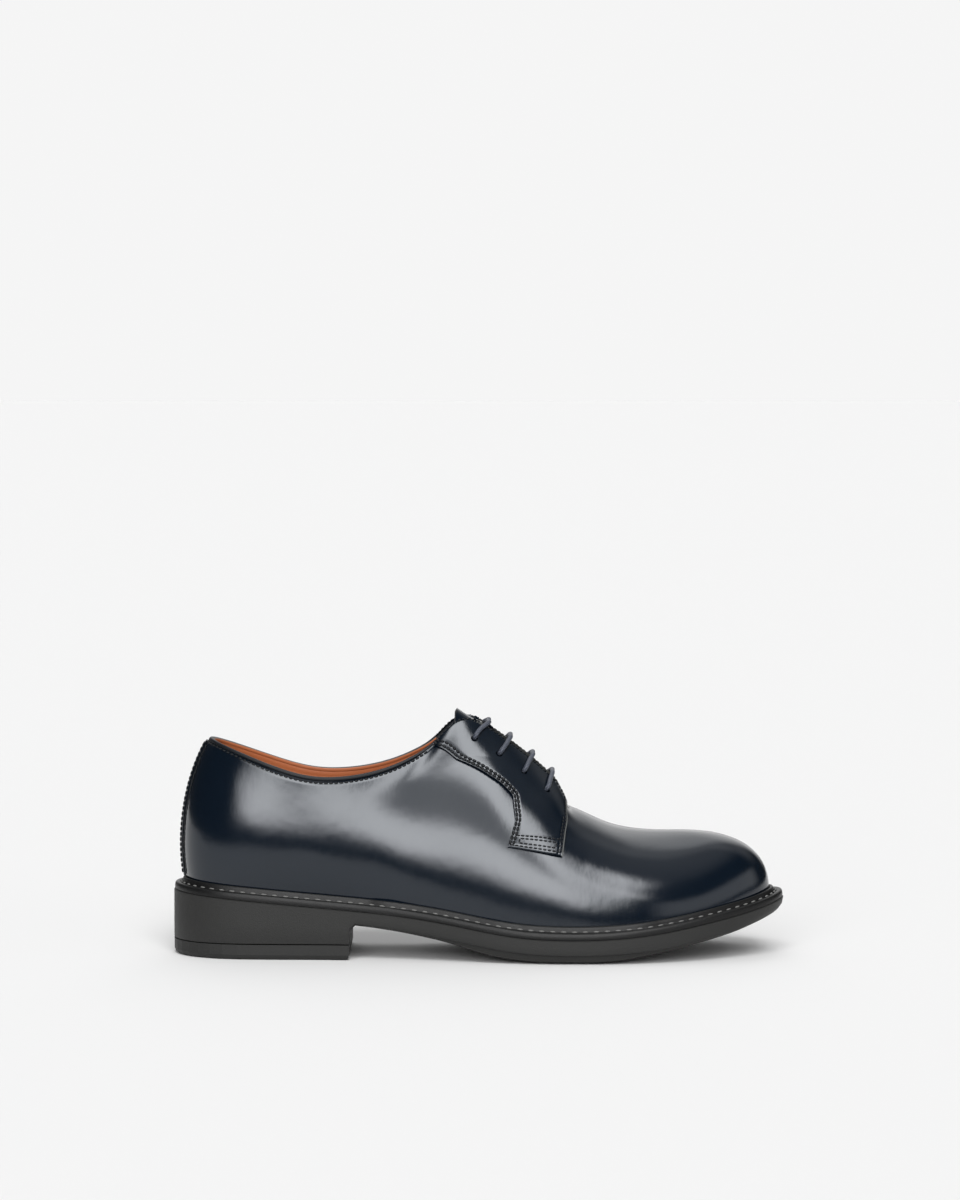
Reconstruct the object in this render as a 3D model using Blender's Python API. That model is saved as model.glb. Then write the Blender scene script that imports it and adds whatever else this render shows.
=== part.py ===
"""A plain-toe derby shoe for the right foot, standing empty on its sole.

Metres. +X is the toe, -Y the outer side of the foot, +Z up, the origin on the floor under the middle.
"""

import math

import bpy
import numpy as np

# Driving sizes
SOLE_LENGTH = 0.302
BALL_WIDTH = 0.105
SEAT_HEIGHT = 0.0318
INSTEP_HEIGHT = 0.1168
HEEL_LENGTH = 0.0876
LIFT_THICKNESS = 0.0074
CLEARANCE = 0.0003
FACING_GAP = 2 * CLEARANCE
RIM_GAP = 1.6 * CLEARANCE
TONGUE_GAP = 3 * CLEARANCE

# Leather and rubber thicknesses
UPPER_WALL = 0.0022
FACING_THICKNESS = 0.0014
TONGUE_THICKNESS = 0.0018
STRIP_THICKNESS = 0.001
INSOLE_THICKNESS = 0.0035
WELT_THICKNESS = 0.0034
BEAD_HEIGHT = 0.0026
SOLE_EDGE = 0.0076
EDGE_DROP = 0.0044
EDGE_BEVEL = 0.0075

# Widths and small sizes
WELT_SHOW = 0.0062
WELT_INSET = 0.0004
BINDING_HEIGHT = 0.0021
BINDING_WRAP = 0.0003
STRIP_WIDTH = 0.007
STRIP_START = 0.008
TONGUE_WIDTH = 0.052
TONGUE_PEAK = 0.0072
TONGUE_DIP = 0.003
LACE_DIAMETER = 0.002
BREAST_CHAMFER = 0.003
LIFT_BEVEL = 0.0016
INSOLE_MARGIN = 0.0012

# Sole from above: along from the back of the heel as a share of SOLE_LENGTH,
# outer and inner from the centre line as shares of BALL_WIDTH
OUTLINE_COLUMNS = ("along", "outer", "inner")
OUTLINE = (
    (1.000, -0.033, 0.033),
    (0.987, 0.118, 0.180),
    (0.964, 0.207, 0.269),
    (0.930, 0.289, 0.348),
    (0.881, 0.373, 0.421),
    (0.821, 0.442, 0.474),
    (0.752, 0.486, 0.498),
    (0.672, 0.500, 0.484),
    (0.586, 0.490, 0.418),
    (0.500, 0.450, 0.335),
    (0.414, 0.397, 0.282),
    (0.328, 0.353, 0.277),
    (0.235, 0.328, 0.301),
    (0.142, 0.318, 0.318),
    (0.078, 0.288, 0.290),
    (0.036, 0.223, 0.225),
    (0.009, 0.118, 0.119),
    (0.000, 0.000, 0.000),
)

# Top of the outsole above the floor: height as a share of SEAT_HEIGHT
SEAT_COLUMNS = ("along", "height")
SEAT = (
    (0.000, 1.000),
    (0.120, 0.905),
    (0.250, 0.795),
    (0.350, 0.712),
    (0.450, 0.585),
    (0.550, 0.425),
    (0.640, 0.372),
    (0.720, 0.392),
    (0.800, 0.475),
    (0.880, 0.610),
    (0.950, 0.745),
    (1.000, 0.870),
)

# Outsole: thickness of its side as a share of SOLE_EDGE, and how far its underside
# drops inside that edge as a share of EDGE_DROP
EDGE_COLUMNS = ("along", "thickness", "drop")
EDGE = (
    (0.000, 0.860, 0.15),
    (0.300, 0.850, 0.20),
    (0.430, 0.940, 0.45),
    (0.540, 1.000, 1.00),
    (0.690, 1.000, 1.00),
    (0.800, 1.000, 0.50),
    (0.900, 1.000, 0.25),
    (1.000, 0.930, 0.20),
)

# Crest of the vamp from the toe to the throat: height as a share of INSTEP_HEIGHT
CREST_COLUMNS = ("along", "height")
CREST = (
    (0.640, 0.624),
    (0.660, 0.603),
    (0.684, 0.575),
    (0.716, 0.540),
    (0.754, 0.519),
    (0.796, 0.512),
    (0.846, 0.511),
    (0.900, 0.500),
)

# Where the wall's columns reach the crest: station runs from the toe (0) to the back of the heel (1)
RIDGE_COLUMNS = ("station", "along", "shift")
RIDGE = (
    (0.000, 0.8440, 0.036),
    (0.050, 0.8385, 0.037),
    (0.100, 0.8220, 0.039),
    (0.150, 0.7970, 0.041),
    (0.200, 0.7660, 0.040),
    (0.254, 0.7280, 0.036),
    (0.310, 0.6860, 0.028),
    (0.360, 0.6457, 0.018),
)
THROAT = 0.360
THROAT_BLEND = 0.05
FACING_LIMIT = 0.993
BINDING_START = 0.548

# The wall's top line past the throat: half is its distance from the centre line over BALL_WIDTH
TOP_COLUMNS = ("station", "along", "half", "height")
TOP = (
    (0.360, 0.6457, 0.000, 0.6175),
    (0.368, 0.6444, 0.034, 0.638),
    (0.378, 0.6355, 0.060, 0.674),
    (0.390, 0.6230, 0.072, 0.716),
    (0.407, 0.6022, 0.076, 0.771),
    (0.434, 0.5705, 0.076, 0.843),
    (0.462, 0.5378, 0.076, 0.908),
    (0.487, 0.5090, 0.078, 0.959),
    (0.506, 0.4843, 0.088, 0.990),
    (0.524, 0.4603, 0.110, 0.977),
    (0.548, 0.4272, 0.143, 0.894),
    (0.575, 0.3940, 0.176, 0.832),
    (0.610, 0.3543, 0.209, 0.786),
    (0.660, 0.2947, 0.243, 0.750),
    (0.710, 0.2351, 0.257, 0.746),
    (0.765, 0.1755, 0.244, 0.782),
    (0.820, 0.1176, 0.195, 0.838),
    (0.875, 0.0795, 0.130, 0.877),
    (0.935, 0.0622, 0.064, 0.893),
    (1.000, 0.0570, 0.000, 0.896),
)

# Shape of each column of the wall between the sole and the top line:
# leans in degrees outwards from upright, pulls as shares of BALL_WIDTH
SECTION_COLUMNS = ("station", "base_lean", "base_pull", "top_drop", "top_pull")
SECTION = (
    (0.000, 6.5, 0.174, 0.0, 0.308),
    (0.080, 6.5, 0.182, 0.0, 0.300),
    (0.160, 6.0, 0.190, 0.0, 0.270),
    (0.250, 6.0, 0.215, 0.0, 0.300),
    (0.330, 5.0, 0.240, 0.0, 0.320),
    (0.362, 4.5, 0.258, 2.0, 0.310),
    (0.395, 4.0, 0.290, 22.0, 0.290),
    (0.450, 3.0, 0.315, 36.0, 0.290),
    (0.506, 4.0, 0.320, 50.0, 0.310),
    (0.575, 6.0, 0.250, 66.0, 0.250),
    (0.660, 9.0, 0.210, 74.0, 0.195),
    (0.760, 11.0, 0.220, 70.0, 0.200),
    (0.860, 12.0, 0.235, 64.0, 0.205),
    (1.000, 13.5, 0.245, 60.0, 0.210),
)

# Facing seen from the side, from its bottom edge to its top: along and height as above
FACING_COLUMNS = ("rear_along", "rear_height", "front_along", "front_height")
FACING = (
    (0.546, 0.477, 0.634, 0.437),
    (0.5535, 0.542, 0.6378, 0.520),
    (0.558, 0.600, 0.6405, 0.584),
    (0.555, 0.670, 0.6385, 0.643),
    (0.539, 0.722, 0.6215, 0.719),
    (0.511, 0.772, 0.5740, 0.849),
    (0.465, 0.829, 0.5205, 0.948),
    (0.424, 0.876, 0.4843, 0.990),
)

# Lace bars: eyelet and the place where the bar crosses the facing's edge, seen from the side
BAR_COLUMNS = ("eyelet_along", "eyelet_height", "edge_along")
BARS = (
    (0.4910, 0.908, 0.509),
    (0.5308, 0.843, 0.545),
    (0.5705, 0.769, 0.581),
    (0.6072, 0.692, 0.612),
)

# Mesh density
WALL_ROWS = 10
SOLE_STATIONS = 36
LACE_POINTS = 9
FACING_ROWS = 22
FACING_COLUMNS_ACROSS = 9
DENSE = 2000
STATION_RUNS = ((0.0, 0.30, 11), (0.30, THROAT, 6), (THROAT, 0.41, 12), (0.41, 0.48, 6), (0.48, BINDING_START, 7),
                (BINDING_START, 0.80, 8), (0.80, 1.0, 8))

OUTER = -1
INNER = 1


def column(table, names, name):
    """One named column of a table, as an array."""
    return np.array([row[names.index(name)] for row in table], float)


def smooth(knots, values, at):
    """Natural cubic spline through the values, which may be rows of several numbers."""
    knots = np.asarray(knots, float)
    values = np.asarray(values, float)
    flat = values.ndim == 1
    rows = values.reshape(len(knots), -1)
    step = np.diff(knots)
    count = len(knots)
    matrix = np.eye(count)
    right = np.zeros_like(rows)
    for i in range(1, count - 1):
        matrix[i, i - 1:i + 2] = (step[i - 1], 2 * (step[i - 1] + step[i]), step[i])
        rise = (rows[i + 1] - rows[i]) / step[i] - (rows[i] - rows[i - 1]) / step[i - 1]
        right[i] = 6 * rise
    bend = np.linalg.solve(matrix, right)
    at = np.atleast_1d(np.asarray(at, float))
    cell = np.clip(np.searchsorted(knots, at) - 1, 0, count - 2)
    width = step[cell][:, None]
    left = (knots[cell + 1] - at)[:, None] / width
    gone = 1 - left
    curve = (left * rows[cell] + gone * rows[cell + 1]
             + ((left ** 3 - left) * bend[cell] + (gone ** 3 - gone) * bend[cell + 1]) * width ** 2 / 6)
    return curve[:, 0] if flat else curve


def steady(knots, values, at):
    """Cubic curve through the values that never overshoots, so level stretches stay level."""
    knots = np.asarray(knots, float)
    values = np.asarray(values, float)
    step = np.diff(knots)
    rise = np.diff(values) / step
    slope = np.zeros(len(knots))
    for i in range(1, len(knots) - 1):
        if rise[i - 1] * rise[i] > 0:
            slope[i] = 2 * rise[i - 1] * rise[i] / (rise[i - 1] + rise[i])
    slope[0] = rise[0]
    slope[-1] = rise[-1]
    at = np.atleast_1d(np.asarray(at, float))
    cell = np.clip(np.searchsorted(knots, at) - 1, 0, len(knots) - 2)
    width = step[cell]
    share = (at - knots[cell]) / width
    return ((2 * share ** 3 - 3 * share ** 2 + 1) * values[cell]
            + (share ** 3 - 2 * share ** 2 + share) * width * slope[cell]
            + (3 * share ** 2 - 2 * share ** 3) * values[cell + 1]
            + (share ** 3 - share ** 2) * width * slope[cell + 1])


def to_x(along):
    return (np.asarray(along, float) - 0.5) * SOLE_LENGTH


def to_along(x):
    return np.asarray(x, float) / SOLE_LENGTH + 0.5


def closed_outline():
    """The sole's outline as a dense closed curve from the toe, by the outer side, to the heel and back."""
    along = column(OUTLINE, OUTLINE_COLUMNS, "along")
    outer = column(OUTLINE, OUTLINE_COLUMNS, "outer")
    inner = column(OUTLINE, OUTLINE_COLUMNS, "inner")
    down = np.column_stack([to_x(along), -outer * BALL_WIDTH])
    back = np.column_stack([to_x(along), inner * BALL_WIDTH])[::-1]
    loop = np.vstack([down, back[1:]])
    extra = 4
    wrapped = np.vstack([loop[-1 - extra:-1], loop, loop[1:1 + extra]])
    chord = np.concatenate([[0], np.cumsum(np.linalg.norm(np.diff(wrapped, axis=0), axis=1))])
    start, heel, end = chord[extra], chord[extra + len(down) - 1], chord[-1 - extra]
    at = np.concatenate([np.linspace(start, heel, DENSE + 1), np.linspace(heel, end, DENSE + 1)[1:]])
    return smooth(chord, wrapped, at)


LOOP = closed_outline()


def inset_loop(distance):
    """The outline moved inwards by a distance, which may change along the loop."""
    tangent = np.gradient(np.vstack([LOOP[-2], LOOP, LOOP[1]]), axis=0)[1:-1]
    tangent /= np.linalg.norm(tangent, axis=1)[:, None]
    inward = np.column_stack([tangent[:, 1], -tangent[:, 0]])
    if np.dot(inward[DENSE // 2], np.array([0, 1])) < 0:
        inward = -inward
    return LOOP + inward * np.reshape(distance, (-1, 1)), -inward


def half_loop(values, side):
    """The half of a dense loop on one side, from the toe to the heel."""
    return values[:DENSE + 1] if side == OUTER else values[DENSE:][::-1]


BASE_LOOP, OUTWARD_LOOP = inset_loop(WELT_SHOW + UPPER_WALL * 0.5)


def base_at(side, station):
    """Point and outward direction of the wall's foot at a station, in plan."""
    points = half_loop(BASE_LOOP, side)
    outward = half_loop(OUTWARD_LOOP, side)
    length = np.concatenate([[0], np.cumsum(np.linalg.norm(np.diff(points, axis=0), axis=1))])
    at = np.asarray(station, float) * length[-1]
    place = np.column_stack([np.interp(at, length, points[:, k]) for k in (0, 1)])
    way = np.column_stack([np.interp(at, length, outward[:, k]) for k in (0, 1)])
    return place, way / np.linalg.norm(way, axis=1)[:, None]


def seat_height(x):
    """Top of the outsole above the floor."""
    height = smooth(column(SEAT, SEAT_COLUMNS, "along"), column(SEAT, SEAT_COLUMNS, "height"), to_along(x))
    return height * SEAT_HEIGHT


def edge_share(x, name):
    return steady(column(EDGE, EDGE_COLUMNS, "along"), column(EDGE, EDGE_COLUMNS, name), to_along(x))


def edge_height(x):
    """Lower edge of the outsole's side above the floor."""
    return seat_height(x) - edge_share(x, "thickness") * SOLE_EDGE


def tread_height(x):
    """Underside of the outsole, level on the floor under the ball of the foot."""
    return np.maximum(edge_height(x) - edge_share(x, "drop") * EDGE_DROP, 0.0)


def crest_height(along):
    knots = column(CREST, CREST_COLUMNS, "along")
    return smooth(knots, column(CREST, CREST_COLUMNS, "height"), along) * INSTEP_HEIGHT


def ridge_at(station):
    """Top of the wall where it closes over the crest of the vamp, and the crest's slope there."""
    knots = column(RIDGE, RIDGE_COLUMNS, "station")
    rows = np.column_stack([column(RIDGE, RIDGE_COLUMNS, name) for name in ("along", "shift")])
    knots = np.concatenate([-knots[:0:-1], knots])
    rows = np.vstack([rows[:0:-1], rows])
    found = smooth(knots, rows, station)
    along = found[:, 0]
    step = 0.002
    slope = (crest_height(along + step) - crest_height(along - step)) / (2 * step * SOLE_LENGTH)
    return np.column_stack([to_x(along), found[:, 1] * BALL_WIDTH, crest_height(along)]), slope


def top_at(side, station):
    """Top line of the wall past the throat."""
    knots = column(TOP, TOP_COLUMNS, "station")
    along = column(TOP, TOP_COLUMNS, "along")
    half = column(TOP, TOP_COLUMNS, "half")
    height = column(TOP, TOP_COLUMNS, "height")
    both = np.concatenate([knots, 2 - knots[-2::-1]])
    rows = np.column_stack([np.concatenate([along, along[-2::-1]]), np.concatenate([half, -half[-2::-1]]),
                            np.concatenate([height, height[-2::-1]])])
    found = smooth(both, rows, station)
    shift = np.interp(station, (THROAT, 0.5), (column(RIDGE, RIDGE_COLUMNS, "shift")[-1], 0))
    across = (side * found[:, 1] + shift) * BALL_WIDTH
    return np.column_stack([to_x(found[:, 0]), across, found[:, 2] * INSTEP_HEIGHT])


def wall_column(side, station):
    """The four control points of the wall's column at each station."""
    station = np.atleast_1d(np.asarray(station, float))
    place, way = base_at(side, station)
    foot = np.column_stack([place, seat_height(place[:, 0]) + CLEARANCE])
    crest, slope = ridge_at(np.minimum(station, THROAT))
    line = top_at(side, np.maximum(station, THROAT))
    closed = (station <= THROAT)[:, None]
    top = np.where(closed, crest, line)
    knots = column(SECTION, SECTION_COLUMNS, "station")
    shape = np.column_stack([column(SECTION, SECTION_COLUMNS, name) for name in SECTION_COLUMNS[1:]])
    lean, pull, drop, reach = smooth(knots, shape, station).T
    lean = np.radians(lean)
    drop = np.radians(np.maximum(drop, 0))
    up = np.column_stack([way * np.sin(lean)[:, None], np.cos(lean)])
    down = np.column_stack([way * np.cos(drop)[:, None], -np.sin(drop)])
    down[:, 2] += slope * way[:, 0] * np.clip(1 - (station - THROAT) / THROAT_BLEND, 0, 1)
    return foot, foot + up * (pull * BALL_WIDTH)[:, None], top + down * (reach * BALL_WIDTH)[:, None], top


def wall_point(side, station, rise):
    """Outer face of the upper: rise runs from the sole (0) to the top line or crest (1)."""
    foot, low, high, top = wall_column(side, station)
    rise = np.reshape(np.broadcast_to(rise, len(foot)), (-1, 1))
    left = 1 - rise
    return left ** 3 * foot + 3 * left ** 2 * rise * low + 3 * left * rise ** 2 * high + rise ** 3 * top


def wall_normal(side, station, rise):
    """Outward direction of the upper's face."""
    station = np.atleast_1d(np.asarray(station, float))
    rise = np.minimum(np.broadcast_to(rise, len(station)), 0.985)
    step = 0.002
    after = np.minimum(station + step, 1.0)
    before = np.maximum(station - step, 0.0)
    same = (before < THROAT) & (after > THROAT)
    before = np.where(same & (station > THROAT), THROAT + 1e-9, before)
    after = np.where(same & (station <= THROAT), THROAT, after)
    back = wall_point(side, after, rise) - wall_point(side, before, rise)
    low = np.maximum(rise - step, 0)
    high = rise + step
    up = wall_point(side, station, high) - wall_point(side, station, low)
    normal = np.cross(back, up) * side
    return normal / np.linalg.norm(normal, axis=1)[:, None]


def lifted(side, station, rise, lift):
    """A point at a distance off the upper's outer face."""
    return wall_point(side, station, rise) + wall_normal(side, station, rise) * np.reshape(lift, (-1, 1))


def find_on_wall(x, z, side=OUTER):
    """Station and rise of the point that is seen at x, z from the side."""
    stations, rises = np.meshgrid(np.linspace(0.2, 0.7, 126), np.linspace(0.2, 1, 81))
    seen = wall_point(side, stations.ravel(), rises.ravel())
    best = np.argmin((seen[:, 0] - x) ** 2 + (seen[:, 2] - z) ** 2)
    guess = np.array([stations.ravel()[best], rises.ravel()[best]])
    step = 1e-4
    for _ in range(8):
        here = wall_point(side, guess[0], guess[1])[0][[0, 2]]
        along = wall_point(side, guess[0] + step, guess[1])[0][[0, 2]] - here
        up = wall_point(side, guess[0], guess[1] + step)[0][[0, 2]] - here
        move = np.linalg.lstsq(np.column_stack([along, up]) / step, np.array([x, z]) - here, rcond=None)[0]
        guess = np.array([guess[0] + np.clip(move[0], -0.02, 0.02), min(guess[1] + np.clip(move[1], -0.1, 0.1), 1.0)])
    return guess


def add_mesh(name, points, faces, finish):
    """A mesh object from points and faces, its faces turned outwards."""
    mesh = bpy.data.meshes.new(name)
    mesh.from_pydata([tuple(point) for point in np.asarray(points, float)], [], faces)
    mesh.validate()
    obj = bpy.data.objects.new(name, mesh)
    bpy.context.scene.collection.objects.link(obj)
    mesh.materials.append(finish)
    mesh.shade_smooth()
    mesh.set_sharp_from_angle(angle=math.radians(35))
    if signed_volume(mesh) < 0:
        mesh.flip_normals()
    return obj


def signed_volume(mesh):
    mesh.calc_loop_triangles()
    points = np.array([tuple(vertex.co) for vertex in mesh.vertices])
    corners = points[np.array([tuple(triangle.vertices) for triangle in mesh.loop_triangles])]
    return np.linalg.det(corners).sum()


def plate(name, bottom, top, finish):
    """A closed sheet between two grids of points of the same size."""
    rows, columns = bottom.shape[:2]
    count = rows * columns

    def at(layer, i, j):
        return layer * count + i * columns + j

    faces = []
    for i in range(rows - 1):
        for j in range(columns - 1):
            faces.append((at(0, i, j), at(0, i, j + 1), at(0, i + 1, j + 1), at(0, i + 1, j)))
            faces.append((at(1, i, j), at(1, i + 1, j), at(1, i + 1, j + 1), at(1, i, j + 1)))
    for i in range(rows - 1):
        faces.append((at(0, i, 0), at(0, i + 1, 0), at(1, i + 1, 0), at(1, i, 0)))
        faces.append((at(0, i + 1, columns - 1), at(0, i, columns - 1), at(1, i, columns - 1),
                      at(1, i + 1, columns - 1)))
    for j in range(columns - 1):
        faces.append((at(0, 0, j + 1), at(0, 0, j), at(1, 0, j), at(1, 0, j + 1)))
        faces.append((at(0, rows - 1, j), at(0, rows - 1, j + 1), at(1, rows - 1, j + 1), at(1, rows - 1, j)))
    points = np.vstack([bottom.reshape(-1, 3), top.reshape(-1, 3)])
    return add_mesh(name, points, faces, finish)


def sweep(name, sections, finish, closed):
    """A solid from cross-sections of the same number of points, as a ring or with flat ends."""
    count, size = sections.shape[:2]
    faces = []
    for i in range(count if closed else count - 1):
        after = (i + 1) % count
        for j in range(size):
            beside = (j + 1) % size
            faces.append((i * size + j, i * size + beside, after * size + beside, after * size + j))
    if not closed:
        faces.append(tuple(range(size))[::-1])
        faces.append(tuple(range((count - 1) * size, count * size)))
    return add_mesh(name, sections.reshape(-1, 3), faces, finish)


def finish_of(name, colour, roughness, metallic=0.0):
    material = bpy.data.materials.new(name)
    material.use_nodes = True
    shader = material.node_tree.nodes["Principled BSDF"]
    shader.inputs["Base Color"].default_value = (*colour, 1.0)
    shader.inputs["Roughness"].default_value = roughness
    shader.inputs["Metallic"].default_value = metallic
    return material


def stations():
    """Stations of the wall's columns from the toe to the back of the heel."""
    runs = [np.linspace(start, end, count + 1)[1:] for start, end, count in STATION_RUNS]
    return np.concatenate([[0.0], *runs])


def make_upper(finish):
    """Vamp and quarters as one wall, open at the throat, the collar and underneath."""
    at = stations()
    throat = int(np.argmin(abs(at - THROAT)))
    last = len(at) - 1
    turn = [(OUTER, i) for i in range(last + 1)] + [(INNER, i) for i in range(last - 1, 0, -1)]
    rises = np.linspace(0, 1, WALL_ROWS + 1)
    points = []
    number = {}
    for layer, lift in enumerate((0.0, -UPPER_WALL)):
        for side, i in turn:
            column_at = np.full(len(rises), at[i])
            strip = lifted(side, column_at, rises, np.full(len(rises), lift))
            strip[0, 2] = wall_point(side, at[i], 0.0)[0, 2]
            if i in (0, last) or i <= throat:
                other = lifted(-side, column_at, rises, np.full(len(rises), lift))
                if i in (0, last):
                    strip[1:] = (strip[1:] + other[1:]) / 2
                    strip[0, :2] = ((strip[0] + other[0]) / 2)[:2]
                else:
                    strip[-1] = (strip[-1] + other[-1]) / 2
            for j in range(len(rises)):
                if side == INNER and i <= throat and j == WALL_ROWS:
                    number[layer, side, i, j] = number[layer, OUTER, i, j]
                    continue
                number[layer, side, i, j] = len(points)
                points.append(strip[j])
    faces = []
    for k, (side, i) in enumerate(turn):
        after_side, after = turn[(k + 1) % len(turn)]
        for j in range(WALL_ROWS):
            ring = ((side, i, j), (side, i, j + 1), (after_side, after, j + 1), (after_side, after, j))
            faces.append(tuple(number[(0, *corner)] for corner in ring))
            faces.append(tuple(number[(1, *corner)] for corner in reversed(ring)))
        faces.append((number[0, side, i, 0], number[0, after_side, after, 0],
                      number[1, after_side, after, 0], number[1, side, i, 0]))
        if i >= throat and after >= throat:
            faces.append((number[0, side, i, WALL_ROWS], number[1, side, i, WALL_ROWS],
                          number[1, after_side, after, WALL_ROWS], number[0, after_side, after, WALL_ROWS]))
    return add_mesh("upper", points, faces, finish)


def facing_patch(side, rows, columns):
    """Stations and rises of the facing, from its bottom edge to its top and from the rear to the front."""
    found = []
    for rear_along, rear_height, front_along, front_height in FACING:
        rear = find_on_wall(to_x(rear_along), rear_height * INSTEP_HEIGHT)
        front = find_on_wall(to_x(front_along), front_height * INSTEP_HEIGHT)
        found.append((*rear, *front))
    found = np.array(found)
    found[-1, 1] = 1.0
    found[-4:, 3] = 1.0
    knots = np.linspace(0, 1, len(found))
    level = np.linspace(0, 1, rows)
    rear_station, rear_rise, front_station, front_rise = (steady(knots, found[:, k], level) for k in range(4))
    share = np.linspace(0, 1, columns)[None, :]
    station = rear_station[:, None] * (1 - share) + front_station[:, None] * share
    rise = rear_rise[:, None] * (1 - share) + front_rise[:, None] * share
    return station, np.minimum(rise, FACING_LIMIT)


def make_facing(side, name, finish):
    """Facing stitched on the quarter beside the throat, one sheet of leather thick."""
    station, rise = facing_patch(side, FACING_ROWS, FACING_COLUMNS_ACROSS)
    layers = []
    for lift in (FACING_GAP, FACING_GAP + FACING_THICKNESS):
        flat = lifted(side, station.ravel(), rise.ravel(), np.full(station.size, lift))
        layers.append(flat.reshape(*station.shape, 3))
    return plate(name, layers[0], layers[1], finish)


def strip_grid(lift):
    """Points of the strip up the back of the heel, at a distance off the wall."""
    reach = wall_point(OUTER, 1.0, 1.0)[0] - wall_point(OUTER, 1.0, 0.0)[0]
    start = STRIP_START / np.linalg.norm(reach)
    rises = np.linspace(start, 0.995, 14)
    step = 0.01
    rows = []
    for rise in rises:
        row = []
        for side, share in ((OUTER, 1.0), (OUTER, 0.5), (OUTER, 0.0), (INNER, 0.5), (INNER, 1.0)):
            pace = np.linalg.norm(wall_point(side, 1.0, rise) - wall_point(side, 1.0 - step, rise)) / step
            place = lifted(side, 1.0 - share * STRIP_WIDTH / 2 / pace, rise, lift)[0]
            if share == 0.0:
                place = (place + lifted(INNER, 1.0, rise, lift)[0]) / 2
            row.append(place)
        rows.append(row)
    return np.array(rows)


def make_back_strip(finish):
    return plate("back_strip", strip_grid(CLEARANCE), strip_grid(CLEARANCE + STRIP_THICKNESS), finish)


def make_binding(finish):
    """Rolled edge along the collar, sitting on the wall's top."""
    at = stations()
    at = at[at >= BINDING_START - 1e-9]
    path = [(OUTER, value) for value in at] + [(INNER, value) for value in at[-2::-1]]
    inside = -UPPER_WALL - BINDING_WRAP
    profile = ((BINDING_WRAP, 0.0), (BINDING_WRAP, 0.6), (-UPPER_WALL * 0.2, 1.0), (-UPPER_WALL * 0.8, 1.0),
               (inside, 0.6), (inside, 0.0))
    sections = []
    for side, value in path:
        edge = wall_point(side, value, 1.0)[0]
        normal = wall_normal(side, value, 1.0)[0]
        if value == 1.0:
            normal = normal + wall_normal(-side, value, 1.0)[0]
            normal /= np.linalg.norm(normal)
        up = edge - wall_point(side, value, 0.97)[0]
        up -= normal * np.dot(up, normal)
        up /= np.linalg.norm(up)
        sections.append([edge + normal * out + up * (RIM_GAP + high * BINDING_HEIGHT) for out, high in profile])
    return sweep("collar_binding", np.array(sections), finish, closed=False)


def tongue_grid(lift):
    """Points of the tongue, which follows the inside of the wall under the facings and bridges the gap."""
    along = np.concatenate([np.linspace(0.325, THROAT, 3), np.linspace(THROAT, 0.502, 13)[1:]])
    rises = np.linspace(0.62, 1, 14)
    across = np.linspace(-1, 1, 9)
    rows = []
    for station in along:
        halves = [lifted(side, np.full(len(rises), station), rises, np.full(len(rises), lift))
                  for side in (OUTER, INNER)]
        left, right = halves[0][-1], halves[1][-1]
        start = (halves[0][-1] - halves[0][-2]) / np.linalg.norm(halves[0][-1] - halves[0][-2])
        end = (halves[1][-2] - halves[1][-1]) / np.linalg.norm(halves[1][-2] - halves[1][-1])
        pull = np.linalg.norm(right - left) / 3
        share = np.linspace(0, 1, 7)[1:-1, None]
        rest = 1 - share
        bridge = (rest ** 3 * left + 3 * rest ** 2 * share * (left + start * pull)
                  + 3 * rest * share ** 2 * (right - end * pull) + share ** 3 * right)
        if station <= THROAT:
            halves[0] = halves[0][:-1]
            middle = [(left + right) / 2]
            halves[1] = halves[1][:-1]
        else:
            middle = bridge
        arch = np.vstack([halves[0], middle, halves[1][::-1]])
        length = np.concatenate([[0], np.cumsum(np.linalg.norm(np.diff(arch, axis=0), axis=1))])
        centre = length[-1] / 2
        width = TONGUE_WIDTH * np.interp(station, (along[0], 0.42, along[-1]), (0.62, 0.9, 1.0))
        at = centre + across * width / 2
        rows.append(np.column_stack([np.interp(at, length, arch[:, k]) for k in range(3)]))
    rows = np.array(rows)
    way = rows[-1] - rows[-4]
    way /= np.linalg.norm(way, axis=1)[:, None]
    reach = TONGUE_PEAK * (1 - 0.75 * abs(across) ** 3)[:, None]
    dip = np.column_stack([0 * across, 0 * across, TONGUE_DIP * across ** 2])
    tip = [rows[-1] + way * reach * share - dip * share for share in (0.5, 1.0)]
    return np.concatenate([rows, np.array(tip)])


def make_tongue(finish):
    top = -UPPER_WALL - TONGUE_GAP
    return plate("tongue", tongue_grid(top - TONGUE_THICKNESS), tongue_grid(top), finish)


def make_insole(finish):
    """Insole inside the wall, on the outsole."""
    inset = WELT_SHOW + UPPER_WALL * 1.5 + CLEARANCE + INSOLE_MARGIN
    loop = inset_loop(inset)[0]
    each = DENSE // 40
    ring = np.concatenate([loop[:DENSE:each], loop[DENSE:-1:each]])
    return slab("insole", [(ring, seat_height(ring[:, 0]) + CLEARANCE + high) for high in (0, INSOLE_THICKNESS)],
                finish)


def slab(name, rings, finish):
    """A solid from rings of the same count, closed by strips from side to side."""
    count = len(rings[0][0])
    points = np.vstack([np.column_stack([ring, height]) for ring, height in rings])
    faces = []
    for level in range(len(rings) - 1):
        for i in range(count):
            after = (i + 1) % count
            low, high = level * count, (level + 1) * count
            faces.append((low + i, low + after, high + after, high + i))
    for start in (0, (len(rings) - 1) * count):
        for i in range(count // 2):
            far = (count - i) % count
            cap = [start + i, start + i + 1, start + far - 1, start + far]
            if i == 0:
                cap = [start, start + 1, start + count - 1]
            if i + 1 == count // 2:
                cap = [start + i, start + i + 1, start + i + 2]
            faces.append(tuple(cap if start else cap[::-1]))
    return add_mesh(name, points, faces, finish)


def width_at(loop, side, x):
    """The y of a loop on one side at each x."""
    half = half_loop(loop, side)[::-1]
    return np.interp(x, half[:, 0], half[:, 1])


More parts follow.
